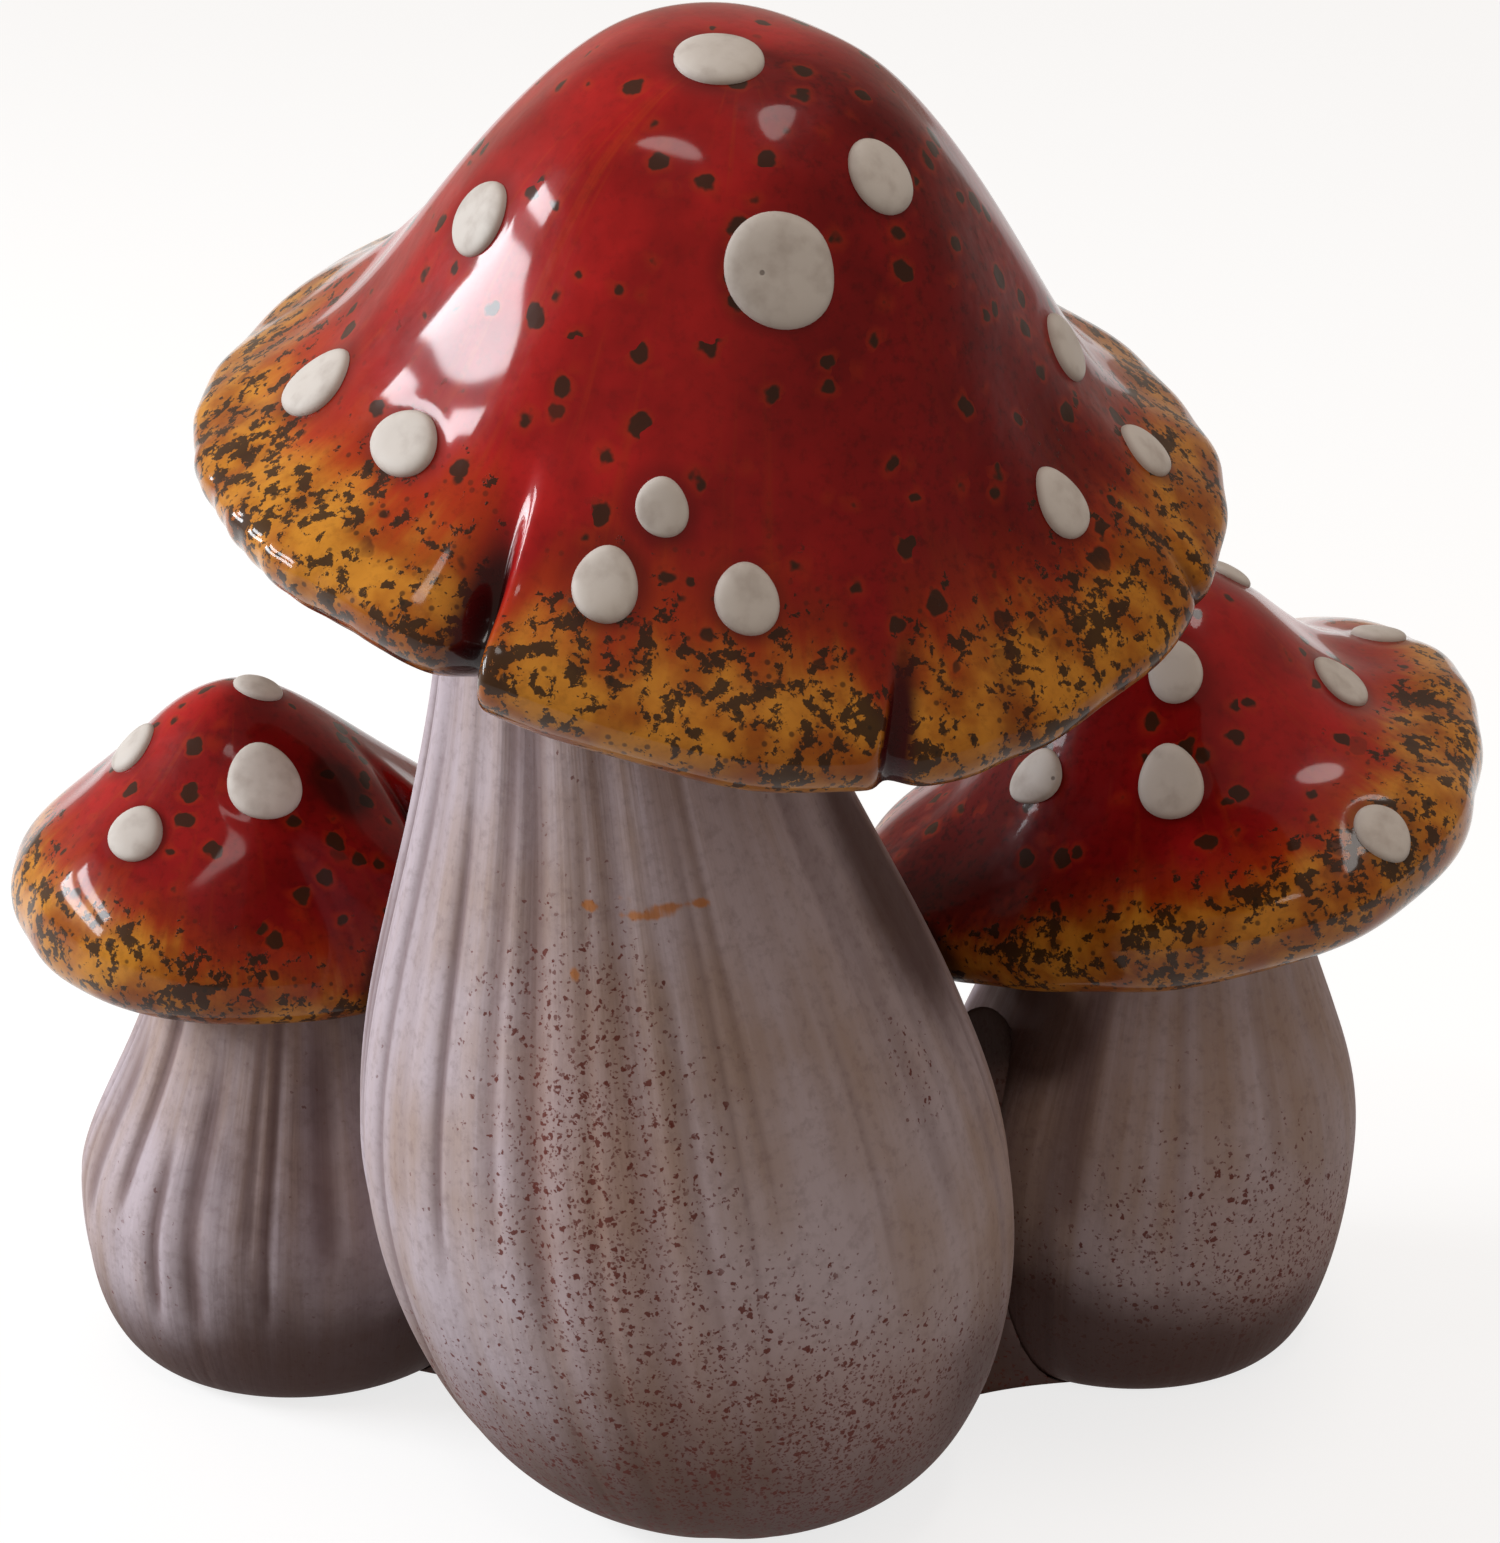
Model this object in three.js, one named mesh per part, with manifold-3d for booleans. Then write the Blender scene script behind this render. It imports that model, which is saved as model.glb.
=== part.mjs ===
// Garden ornament: a cluster of three toadstools in painted and glazed earthenware.
// Every toadstool is a hollow stem and a hollow cap, cast apart and luted together with slip,
// and each cap carries raised drops of white slip. The stems lean on each other and stand on
// flat foot rings. Millimetres, +Z up, the front of the cluster faces -Y, the ground is z = 0.

import * as THREE from 'three';
import { mergeVertices } from 'three/addons/utils/BufferGeometryUtils.js';
import Module from 'manifold-3d';

const wasm = await Module();
wasm.setup();

// Clearance between two pieces that are luted together.
const SEAT_GAP = 0.3;

// Stems. The wall swells from the foot ring to the belly on a quarter ellipse and then draws in
// to the neck on a curve that leaves the belly and meets the neck upright. The lean is where the
// top of the neck stands, measured from the middle of the foot.
const MAIN_STEM = {
  footRadius: 15,
  pourHoleRadius: 8,
  bellyRadius: 38.1,
  bellyHeight: 40,
  shoulder: 30,
  throat: 45,
  neckRadius: 15.7,
  height: 138,
  leanX: -17.5,
  leanY: -3.5,
  wall: 4.5,
  flutes: 19,
  fluteDepth: 0.7,
  columns: 68,
  wallRows: 8,
};
const LEFT_STEM = {
  footRadius: 19,
  pourHoleRadius: 9,
  bellyRadius: 28.2,
  bellyHeight: 21.7,
  shoulder: 10,
  throat: 23,
  neckRadius: 16.3,
  height: 66,
  leanX: 2,
  leanY: 0,
  wall: 4,
  flutes: 13,
  fluteDepth: 0.6,
  columns: 40,
  wallRows: 5,
};
const RIGHT_STEM = {
  footRadius: 19.7,
  pourHoleRadius: 9,
  bellyRadius: 27,
  bellyHeight: 25.6,
  shoulder: 19,
  throat: 29,
  neckRadius: 14.8,
  height: 79,
  leanX: 4,
  leanY: 0,
  wall: 4,
  flutes: 13,
  fluteDepth: 0.45,
  columns: 40,
  wallRows: 5,
};

// The side stems stand against the main stem: the bearing is measured from +X, and the press is how
// far the circles of the two bellies overlap in plan. A flank that meets the main stem is trimmed.
const LEFT_BEARING = 148.1;
const LEFT_PRESS = 1.6;
const RIGHT_BEARING = 35.9;
const RIGHT_PRESS = 2.8;

// Caps. A shallow brim and a taller hump add up to the crown, and the rim rolls under to a lip.
// Rim waves push the rim out and rim rolls lift it, each as [count, size, bearing of a peak].
// A cleft runs from `start` (a share of the way out) to the rim, `drift` degrees off its bearing
// at the start, and the lobe on its `over` side lies over the other.
const MAIN_CAP = {
  rimRadius: 55.5,
  brimRise: 10.5,
  humpRise: 40.4,
  humpRadius: 33.9,
  humpPower: 3.3,
  crownShiftX: -3.1,
  crownShiftY: -0.2,
  lipTuck: 9,
  lipDrop: 6,
  underRise: 6,
  wall: 4.5,
  tiltForward: 15,
  tiltSide: 7.3,
  socketX: -16.9,
  socketY: 1.9,
  spigotRise: 2.9,
  rimWaves: [[2, 1.4, 6], [3, 0.2, 42], [4, 0.3, 20]],
  rimRolls: [[2, 1.4, 48], [3, 1.7, -10]],
  clefts: [
    { bearing: -114.5, drift: -6, start: 0.64, depth: 4, width: 2.6, lap: 1.8, fall: 10, over: 1 },
    { bearing: -67.5, drift: 8, start: 0.72, depth: 2, width: 2.4, lap: 1, fall: 12, over: -1 },
    { bearing: 74, drift: 4, start: 0.72, depth: 2, width: 2.6, lap: 1, fall: 13, over: 1 },
  ],
  columns: 64,
  crownRows: 12,
};
const LEFT_CAP = {
  rimRadius: 30.3,
  brimRise: 13.3,
  humpRise: 14.5,
  humpRadius: 17.6,
  humpPower: 1.9,
  crownShiftX: -2.6,
  crownShiftY: 0,
  lipTuck: 4.9,
  lipDrop: 5.6,
  underRise: 4,
  wall: 4.5,
  tiltForward: 3.8,
  tiltSide: 1.9,
  socketX: 5,
  socketY: 0.1,
  spigotRise: 2.2,
  rimWaves: [],
  rimRolls: [],
  clefts: [
    { bearing: -28, drift: 32, start: 0.36, depth: 2.2, width: 2.2, lap: 2, fall: 12, over: 1 },
  ],
  columns: 38,
  crownRows: 8,
};
const RIGHT_CAP = {
  rimRadius: 38.7,
  brimRise: 11.7,
  humpRise: 19,
  humpRadius: 19.1,
  humpPower: 3.1,
  crownShiftX: 2.7,
  crownShiftY: 0,
  lipTuck: 5,
  lipDrop: 5.6,
  underRise: 4.2,
  wall: 4.5,
  tiltForward: 3.9,
  tiltSide: -17.1,
  socketX: 1.5,
  socketY: 2.6,
  spigotRise: 4.6,
  rimWaves: [[2, 1.9, 21], [3, 2.7, -60]],
  rimRolls: [[2, 0.9, 20]],
  clefts: [
    { bearing: 120, drift: 5, start: 0.7, depth: 1.4, width: 2.4, lap: 0.8, fall: 10, over: 1 },
  ],
  columns: 42,
  crownRows: 8,
};

// Slip drops on each cap as [bearing, distance out from the crown in plan, width]. The profile of a
// drop is given as shares of its half width and its rise.
const DOT_RISE = 1.9;
const DOT_PROFILE = [[0, 0], [0.94, 0], [1, 0.3], [0.68, 0.82], [0, 1]];
const MAIN_DOTS = [
  [-128, 3.8, 9.4], [-157, 27.8, 8.2], [-77, 23.6, 11.4], [-38.5, 19.1, 8],
  [-165, 43.4, 8.8], [-141.5, 41.1, 8.2], [-97.5, 37.9, 5.7], [-103.5, 44.2, 7.5],
  [-84, 42.7, 7], [-27.5, 41.7, 7.4], [-2.5, 46, 7], [0, 36.4, 7.4],
  [62, 27, 9], [54, 47, 7.6], [90, 44, 8], [84, 32, 10],
  [112, 42, 9], [124, 47, 8], [104, 26, 10], [126, 34, 8],
];
const LEFT_DOTS = [
  [4, 2.4, 5.7], [-171.5, 13.6, 7], [-73.5, 12.6, 9.2], [-128, 19.4, 7.2],
  [76, 24.5, 6.2], [97, 19, 7], [118, 24, 6],
];
const RIGHT_DOTS = [
  [-82.5, 13.4, 7], [-14.5, 22.6, 8], [28.5, 31, 7], [23, 11.6, 6],
  [-142.5, 20.8, 7.2], [-94, 21.5, 8.4], [-53, 35, 6.8],
  [66, 25, 7], [98, 14, 8], [146, 27, 7], [176, 13, 6],
];

// Lutes: clay pressed into the joint between the main stem and a side stem. Each stands on a toe on
// the ground and runs up as a narrow web between the two bellies.
const LEFT_LUTE = { halfToe: 3.5, halfWeb: 4, halfLength: 24, height: 34 };
const RIGHT_LUTE = { halfToe: 11, halfWeb: 4.5, halfLength: 30, height: 50 };

// Flutes are deepest at the back left and lose up to this share of their depth at this bearing.
const FLUTE_FADE = 0.8;
const FLUTE_FADE_BEARING = -50;

// Facet counts that the castings share.
const FOOT_ROWS = 5;
const LIP_ROWS = 3;
const UNDER_ROWS = 2;
const CAVITY_COLUMNS = 20;
const CAVITY_ROWS = 5;
const DOT_COLUMNS = 9;
const LUTE_COLUMNS = 24;
const LUTE_ROWS = 5;

// Columns of a cap are drawn towards each cleft by this share, within this many degrees of it.
const GATHER_SHARE = 0.6;
const GATHER_SPAN = 16;

const UP = Math.PI / 2;
const radians = THREE.MathUtils.degToRad;
const clamp = THREE.MathUtils.clamp;
const smoothstep = THREE.MathUtils.smoothstep;

// Materials: glossy red glaze, matt stem paint and satin white slip.
const glaze = () => new THREE.MeshStandardMaterial({ color: 0xa01c20, roughness: 0.18, metalness: 0 });
const stemPaint = () => new THREE.MeshStandardMaterial({ color: 0xc4b8bb, roughness: 0.75, metalness: 0 });
const slip = () => new THREE.MeshStandardMaterial({ color: 0xe1deda, roughness: 0.4, metalness: 0 });

// Closed solid of a closed geometry, with the collapsed facets at its poles left out.
function solidOf(geometry) {
  const bare = geometry.clone();
  bare.deleteAttribute('normal');
  bare.deleteAttribute('uv');
  const merged = mergeVertices(bare);
  const corners = merged.index.array;
  const triVerts = [];
  for (let i = 0; i < corners.length; i += 3) {
    const [a, b, c] = corners.slice(i, i + 3);
    if (a !== b && b !== c && c !== a) triVerts.push(a, b, c);
  }
  return new wasm.Manifold(new wasm.Mesh({
    numProp: 3,
    vertProperties: merged.attributes.position.array,
    triVerts: Uint32Array.from(triVerts),
  }));
}

function geometryOf(solid) {
  const mesh = solid.getMesh();
  const geometry = new THREE.BufferGeometry();
  geometry.setAttribute('position', new THREE.BufferAttribute(mesh.vertProperties, mesh.numProp));
  geometry.setIndex(new THREE.BufferAttribute(mesh.triVerts, 1));
  geometry.computeVertexNormals();
  return geometry;
}

// Solid of revolution about +Z from a profile that runs upwards from axis to axis.
function revolve(profile, columns) {
  return new THREE.LatheGeometry(profile, columns).rotateX(UP);
}

// Moves every vertex of a geometry by a function that changes the given point in place.
function reshape(geometry, change) {
  const position = geometry.attributes.position;
  const point = new THREE.Vector3();
  for (let i = 0; i < position.count; i += 1) {
    point.fromBufferAttribute(position, i);
    change(point);
    position.setXYZ(i, point.x, point.y, point.z);
  }
  return geometry;
}

// Points along an upward profile curve, moved out along its normal.
function offsetPoints(curve, rows, out) {
  return Array.from({ length: rows + 1 }, (_, i) => {
    const point = curve.getPoint(i / rows);
    const along = curve.getTangent(i / rows);
    return new THREE.Vector2(point.x + out * along.y, point.y - out * along.x);
  });
}

// Stem wall from the foot ring to the top of the neck, moved out by the given depth.
function stemWall(stem, footRows, wallRows, out) {
  const swell = stem.bellyRadius - stem.footRadius;
  const foot = new THREE.EllipseCurve(
    stem.footRadius, stem.bellyHeight, swell, stem.bellyHeight, -UP, 0,
  );
  const upper = new THREE.CubicBezierCurve(
    new THREE.Vector2(stem.bellyRadius, stem.bellyHeight),
    new THREE.Vector2(stem.bellyRadius, stem.bellyHeight + stem.shoulder),
    new THREE.Vector2(stem.neckRadius, stem.height - stem.throat),
    new THREE.Vector2(stem.neckRadius, stem.height),
  );
  return [...offsetPoints(foot, footRows, out), ...offsetPoints(upper, wallRows, out).slice(1)];
}

function leanStem(stem, point) {
  const lift = point.z / stem.height;
  point.x += stem.leanX * lift;
  point.y += stem.leanY * lift;
}

// Shallow upright flutes of uneven depth, fading out at the foot ring and at the neck.
function fluteStem(stem, point) {
  const around = Math.atan2(point.y, point.x);
  const foot = smoothstep(point.z, 0, stem.bellyHeight);
  const neck = 1 - smoothstep(point.z, stem.height - stem.throat / 2, stem.height);
  const faded = Math.cos((around - radians(FLUTE_FADE_BEARING)) / 2) ** 2;
  const uneven = 1 - FLUTE_FADE * faded;
  const groove = Math.cos((stem.flutes * around) / 2) ** 4;
  const radius = Math.hypot(point.x, point.y);
  const shrink = radius > 0 ? 1 - (stem.fluteDepth * uneven * groove * foot * neck) / radius : 1;
  point.x *= shrink;
  point.y *= shrink;
}

// Outside of a stem as one solid, optionally grown so that its neighbours clear it.
function stemBody(stem, out = 0) {
  const top = stem.height + out;
  const profile = [
    new THREE.Vector2(0, -out),
    ...stemWall(stem, FOOT_ROWS, stem.wallRows, out),
    new THREE.Vector2(stem.neckRadius + out, top),
    new THREE.Vector2(0, top),
  ];
  return reshape(revolve(profile, stem.columns), (point) => {
    fluteStem(stem, point);
    leanStem(stem, point);
  });
}

// Inside of a stem: the pour hole through the foot, the hollow belly and the open neck.
function stemCavity(stem) {
  const past = stem.wall;
  const inner = stemWall(stem, CAVITY_ROWS - 1, CAVITY_ROWS, -stem.wall);
  const profile = [
    new THREE.Vector2(0, -past),
    new THREE.Vector2(stem.pourHoleRadius, -past),
    new THREE.Vector2(stem.pourHoleRadius, stem.wall),
    ...inner,
    new THREE.Vector2(stem.neckRadius - stem.wall, stem.height + past),
    new THREE.Vector2(0, stem.height + past),
  ];
  return reshape(revolve(profile, CAVITY_COLUMNS), (point) => leanStem(stem, point));
}

// Height of the plain crown above the rim plane at a distance out from its middle.
function crownHeight(cap, out) {
  const hump = (distance) => Math.exp(-((distance / cap.humpRadius) ** cap.humpPower));
  const brim = Math.sqrt(Math.max(0, 1 - (out / cap.rimRadius) ** 2));
  return cap.brimRise * brim + cap.humpRise * (hump(out) - hump(cap.rimRadius));
}

function crownSlope(cap, out) {
  const step = cap.rimRadius / 1000;
  const inner = Math.max(0, out - step);
  return (crownHeight(cap, out + step) - crownHeight(cap, inner)) / (out + step - inner);
}

function underHeight(cap) {
  return cap.underRise - cap.lipDrop;
}

// Height of the floor inside a cap, over the underside that the stem comes up through.
function floorHeight(cap) {
  return underHeight(cap) + cap.wall;
}

// Profile of a cap from the middle of its arched underside round the lip and up to the crown.
function capProfile(cap) {
  const lipRadius = cap.rimRadius - cap.lipTuck;
  const under = new THREE.QuadraticBezierCurve(
    new THREE.Vector2(0, underHeight(cap)),
    new THREE.Vector2(lipRadius / 2, underHeight(cap)),
    new THREE.Vector2(lipRadius, -cap.lipDrop),
  );
  const lip = new THREE.EllipseCurve(lipRadius, 0, cap.lipTuck, cap.lipDrop, -UP, 0);
  const crown = Array.from({ length: cap.crownRows }, (_, i) => {
    const out = cap.rimRadius * Math.sin(UP * (1 - (i + 1) / cap.crownRows));
    return new THREE.Vector2(out, crownHeight(cap, out));
  });
  return [...under.getPoints(UNDER_ROWS), ...lip.getPoints(LIP_ROWS).slice(1), ...crown];
}

function ripple(waves, around) {
  return waves.reduce((sum, [count, size, peak]) => (
    sum + size * Math.cos(count * (around - radians(peak)))
  ), 0);
}

// Signed angle from one bearing to another, between minus and plus half a turn.
function turnBetween(from, to) {
  return Math.atan2(Math.sin(to - from), Math.cos(to - from));
}

// Depth of a cleft at a place on the cap: a groove, and beside it the lobe that laps over.
function cleftDepth(cleft, around, reach, out) {
  const strength = smoothstep(reach, cleft.start, 1);
  const line = radians(cleft.bearing + (cleft.drift * (1 - reach)) / (1 - cleft.start));
  const across = turnBetween(line, around) * out * cleft.over;
  const groove = cleft.depth * Math.exp(-((across / cleft.width) ** 2));
  const lobe = across > 0 ? cleft.lap * Math.exp(-across / cleft.fall) : 0;
  return strength * (groove - lobe * (1 - Math.exp(-((across / cleft.width) ** 2))));
}

// Bends the plain turned cap into its hand-shaped form: wavy rim, clefts and shifted crown.
function shapeCap(cap, point) {
  const around = Math.atan2(point.y, point.x);
  const out = Math.hypot(point.x, point.y);
  const reach = Math.min(out / cap.rimRadius, 1);
  const lift = clamp(point.z / (cap.brimRise + cap.humpRise), 0, 1);
  const depth = cap.clefts.reduce((sum, cleft) => sum + cleftDepth(cleft, around, reach, out), 0);
  const outward = reach ** 2;
  const upward = Math.sqrt(1 - outward ** 2) * smoothstep(point.z, -cap.lipDrop, cap.brimRise / 4);
  const radius = out + outward * ripple(cap.rimWaves, around) - depth * outward;
  point.z += reach ** 3 * ripple(cap.rimRolls, around) - depth * upward;
  point.x = radius * Math.cos(around) + cap.crownShiftX * lift;
  point.y = radius * Math.sin(around) + cap.crownShiftY * lift;
}

// Draws the columns of a turned cap together at its clefts, so that a few of them fall in each.
function gatherColumns(cap, point) {
  const out = Math.hypot(point.x, point.y);
  const around = Math.atan2(point.y, point.x);
  const span = radians(GATHER_SPAN);
  const pull = cap.clefts.reduce((sum, cleft) => {
    const turn = turnBetween(radians(cleft.bearing), around);
    return sum - GATHER_SHARE * turn * Math.exp(-((turn / span) ** 2));
  }, 0);
  point.x = out * Math.cos(around + pull);
  point.y = out * Math.sin(around + pull);
}

function capBody(cap) {
  return reshape(revolve(capProfile(cap), cap.columns), (point) => {
    gatherColumns(cap, point);
    shapeCap(cap, point);
  });
}

// Inside of a cap: a flat floor under a crown that follows the outside one wall in.
function capCavity(cap) {
  const floor = floorHeight(cap);
  const inner = [];
  for (let i = 0; i <= CAVITY_ROWS * 2; i += 1) {
    const out = cap.rimRadius * Math.sin(UP * (1 - i / (CAVITY_ROWS * 2)));
    const slope = crownSlope(cap, Math.min(out, cap.rimRadius - cap.wall));
    const steep = Math.hypot(slope, 1);
    const radius = Math.max(0, out + (cap.wall * slope) / steep);
    const height = crownHeight(cap, out) - cap.wall / steep;
    if (height > floor) inner.push(new THREE.Vector2(radius, height));
  }
  inner.at(-1).x = 0;
  const profile = [new THREE.Vector2(0, floor), new THREE.Vector2(inner[0].x, floor), ...inner];
  return reshape(revolve(profile, CAVITY_COLUMNS), (point) => shapeCap(cap, point));
}

// One drop of slip: a low dome, a little pointed, lying on the crown all over its base.
function dotBody(cap, [bearing, distance, width]) {
  const profile = DOT_PROFILE.map(([across, up]) => (
    new THREE.Vector2((across * width) / 2, up * DOT_RISE)
  ));
  const around = radians(bearing);
  const outward = new THREE.Vector2(Math.cos(around), Math.sin(around));
  const sideways = new THREE.Vector2(-outward.y, outward.x);
  const shrink = 1 / Math.hypot(crownSlope(cap, distance), 1);
  return reshape(revolve(profile, DOT_COLUMNS), (point) => {
    const plan = outward.clone().multiplyScalar(distance + point.x * shrink);
    plan.addScaledVector(sideways, point.y);
    const out = plan.length();
    const slope = crownSlope(cap, out);
    const rise = (SEAT_GAP + point.z) / Math.hypot(slope, 1);
    const lean = out > 0 ? (-slope * rise) / out : 0;
    point.set(plan.x * (1 + lean), plan.y * (1 + lean), crownHeight(cap, out) + rise);
    shapeCap(cap, point);
  });
}

// Clay pressed between two stems: a long fillet with a flat base.
function luteBody(lute) {
  const fillet = new THREE.CubicBezierCurve(
    new THREE.Vector2(lute.halfToe, 0),
    new THREE.Vector2(lute.halfWeb, 0),
    new THREE.Vector2(lute.halfWeb, lute.height),
    new THREE.Vector2(0, lute.height),
  );
  const profile = [new THREE.Vector2(0, 0), ...fillet.getPoints(LUTE_ROWS)];
  return revolve(profile, LUTE_COLUMNS).scale(lute.halfLength / lute.halfToe, 1, 1);
}

// The outside of a toadstool's stem, grown by a clearance, as it lies in another group.
function stemAsSeen(viewer, { stem, home }, clearance) {
  viewer.updateWorldMatrix(true, false);
  home.updateWorldMatrix(true, false);
  const step = viewer.matrixWorld.clone().invert().multiply(home.matrixWorld);
  return solidOf(stemBody(stem, clearance).applyMatrix4(step));
}

function addPiece(group, name, geometry, material) {
  const piece = new THREE.Mesh(geometry, material);
  piece.name = name;
  group.add(piece);
}

// Stands a toadstool's groups in the cluster: its foot, and its cap tilted on the stem's neck.
function standToadstool(cluster, stem, cap, foot) {
  const home = new THREE.Group();
  home.position.set(foot.x, foot.y, 0);
  const crown = new THREE.Group();
  crown.rotation.set(radians(cap.tiltForward), radians(cap.tiltSide), 0, 'YXZ');
  const socket = new THREE.Vector3(cap.socketX, cap.socketY, floorHeight(cap) + cap.spigotRise);
  crown.position.set(stem.leanX, stem.leanY, stem.height);
  crown.position.sub(socket.applyEuler(crown.rotation));
  home.add(crown);
  cluster.add(home);
  return { stem, cap, home, crown };
}

// Where a side stem stands: its belly pressed against the belly of the main stem.
function footBeside(stem, bearing, press) {
  const distance = MAIN_STEM.bellyRadius + stem.bellyRadius - press;
  const around = radians(bearing);
  return new THREE.Vector2(distance * Math.cos(around), distance * Math.sin(around));
}

// A hollow casting in its own group, trimmed to clear the stems that it leans on. Its hollow
// keeps one wall away from the trimmed flank.
function shell(group, body, cavity, wall, leansOn) {
  let outside = solidOf(body);
  let inside = solidOf(cavity);
  for (const neighbour of leansOn) {
    outside = outside.subtract(stemAsSeen(group, neighbour, SEAT_GAP));
    inside = inside.subtract(stemAsSeen(group, neighbour, SEAT_GAP + wall));
  }
  return outside.subtract(inside);
}

// Casts a toadstool: a stem, a cap socketed over it, and the drops on the cap.
function castToadstool(name, toadstool, dots, leansOn) {
  const { stem, cap, home, crown } = toadstool;
  const stemShell = shell(home, stemBody(stem), stemCavity(stem), stem.wall, leansOn);
  const capShell = shell(crown, capBody(cap), capCavity(cap), cap.wall, leansOn);
  const socket = stemAsSeen(crown, toadstool, SEAT_GAP);
  addPiece(home, `${name}_stem`, geometryOf(stemShell), stemPaint());
  addPiece(crown, `${name}_cap`, geometryOf(capShell.subtract(socket)), glaze());
  dots.forEach((dot, i) => {
    const number = String(i + 1).padStart(2, '0');
    addPiece(crown, `${name}_cap_dot_${number}`, geometryOf(solidOf(dotBody(cap, dot))), slip());
  });
}

// Presses a lute into the joint between the main stem and a side stem.
function pressLute(name, lute, bearing, press, toadstools) {
  const seat = new THREE.Group();
  const around = radians(bearing);
  const distance = MAIN_STEM.bellyRadius - press / 2;
  seat.position.set(distance * Math.cos(around), distance * Math.sin(around), 0);
  seat.rotation.z = around;
  cluster.add(seat);
  let clay = solidOf(luteBody(lute));
  for (const toadstool of toadstools) {
    clay = clay.subtract(stemAsSeen(seat, toadstool, SEAT_GAP));
  }
  addPiece(seat, name, geometryOf(clay), stemPaint());
}

const ornament = new THREE.Group();
const cluster = new THREE.Group();
ornament.add(cluster);

const leftFoot = footBeside(LEFT_STEM, LEFT_BEARING, LEFT_PRESS);
const rightFoot = footBeside(RIGHT_STEM, RIGHT_BEARING, RIGHT_PRESS);
const main = standToadstool(cluster, MAIN_STEM, MAIN_CAP, new THREE.Vector2());
const left = standToadstool(cluster, LEFT_STEM, LEFT_CAP, leftFoot);
const right = standToadstool(cluster, RIGHT_STEM, RIGHT_CAP, rightFoot);

castToadstool('main', main, MAIN_DOTS, []);
castToadstool('left', left, LEFT_DOTS, [main]);
castToadstool('right', right, RIGHT_DOTS, [main]);
pressLute('left_lute', LEFT_LUTE, LEFT_BEARING, LEFT_PRESS, [main, left]);
pressLute('right_lute', RIGHT_LUTE, RIGHT_BEARING, RIGHT_PRESS, [main, right]);

// The origin is the middle of the cluster's footprint, on the ground.
cluster.updateMatrixWorld(true);
const extent = new THREE.Box3().setFromObject(cluster, true);
const middle = extent.getCenter(new THREE.Vector3());
cluster.position.set(-middle.x, -middle.y, -extent.min.z);

export default ornament;
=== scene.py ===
"""Looks of a garden ornament: a cluster of three toadstools in painted and glazed earthenware.

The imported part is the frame. Every casting, slip drop and lute is worked out again here as a fine
surface in its own place, and gets its finish. It has the sizes of the solid that it stands for, with
finer handwork and a few clefts drawn a little differently.

Sizes are millimetres and bearings are degrees from +X, as a potter would note them. A surface is
scaled to metres when its mesh is made.
"""

import logging
import math
from dataclasses import dataclass, field
from enum import Enum
from typing import Any

import bpy
import numpy as np
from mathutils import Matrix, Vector
from numpy.typing import NDArray


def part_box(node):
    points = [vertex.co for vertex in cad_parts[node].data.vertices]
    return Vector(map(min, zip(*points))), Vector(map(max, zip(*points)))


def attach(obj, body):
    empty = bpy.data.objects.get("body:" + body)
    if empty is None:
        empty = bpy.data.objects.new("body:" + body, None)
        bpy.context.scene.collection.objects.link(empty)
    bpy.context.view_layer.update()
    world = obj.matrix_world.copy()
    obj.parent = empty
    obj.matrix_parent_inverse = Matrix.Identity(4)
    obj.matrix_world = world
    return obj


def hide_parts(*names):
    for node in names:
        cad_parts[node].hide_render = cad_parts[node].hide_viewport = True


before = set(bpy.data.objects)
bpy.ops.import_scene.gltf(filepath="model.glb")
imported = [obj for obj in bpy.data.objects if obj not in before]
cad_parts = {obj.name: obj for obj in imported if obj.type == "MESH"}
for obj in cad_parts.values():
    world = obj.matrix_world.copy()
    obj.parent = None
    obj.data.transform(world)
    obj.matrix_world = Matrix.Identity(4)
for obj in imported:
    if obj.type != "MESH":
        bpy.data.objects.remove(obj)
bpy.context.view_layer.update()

Array = NDArray[np.float64]
Colour = tuple[int, int, int]
LOG = logging.getLogger("toadstools")

MM = 0.001
BODY = "root"
SEAT_GAP = 0.3
QUARTER = math.pi / 2
TINY = 1e-6


class Slot(Enum):
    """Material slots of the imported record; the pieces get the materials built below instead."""

    GLAZE = "cap_glaze"
    PAINT = "stem_paint"
    SLIP = "dot_slip"


class Closing(Enum):
    """How the first and last rows of a surface grid are closed."""

    POLES = "each end is drawn together to one point"
    LOOP = "the last row joins the first"


class Lamp(Enum):
    """Outline of a lamp's face."""

    PANE = "RECTANGLE"
    ROUND = "ELLIPSE"


def smoothstep(value: Array, low: float, high: float) -> Array:
    """Rises smoothly from 0 at low to 1 at high: three times the square less twice the cube."""
    share = np.clip((value - low) / (high - low), 0, 1)
    return share * share * (3 - 2 * share)


def bell(value: Array, width: Any) -> Array:
    """A bell curve of height 1: e to minus the square of the value over the width."""
    return np.exp(-((value / width) ** 2))


def turn_between(start: Any, end: Any) -> Array:
    """Signed angle from one bearing to another in radians, within half a turn either way."""
    return np.arctan2(np.sin(end - start), np.cos(end - start))


def degrees_off(bearing: float, around: Array) -> Array:
    """How many degrees each angle in radians lies off a bearing, within half a turn either way."""
    return np.degrees(turn_between(math.radians(bearing), around))


def full_turn(columns: int) -> Array:
    """Angles of a grid's columns, evenly round a full turn."""
    return np.linspace(-math.pi, math.pi, columns, endpoint=False)


def ring_of(around: Any) -> Array:
    """Unit vectors in plan at the given angles in radians."""
    return np.stack([np.cos(around), np.sin(around)], -1)


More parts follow.
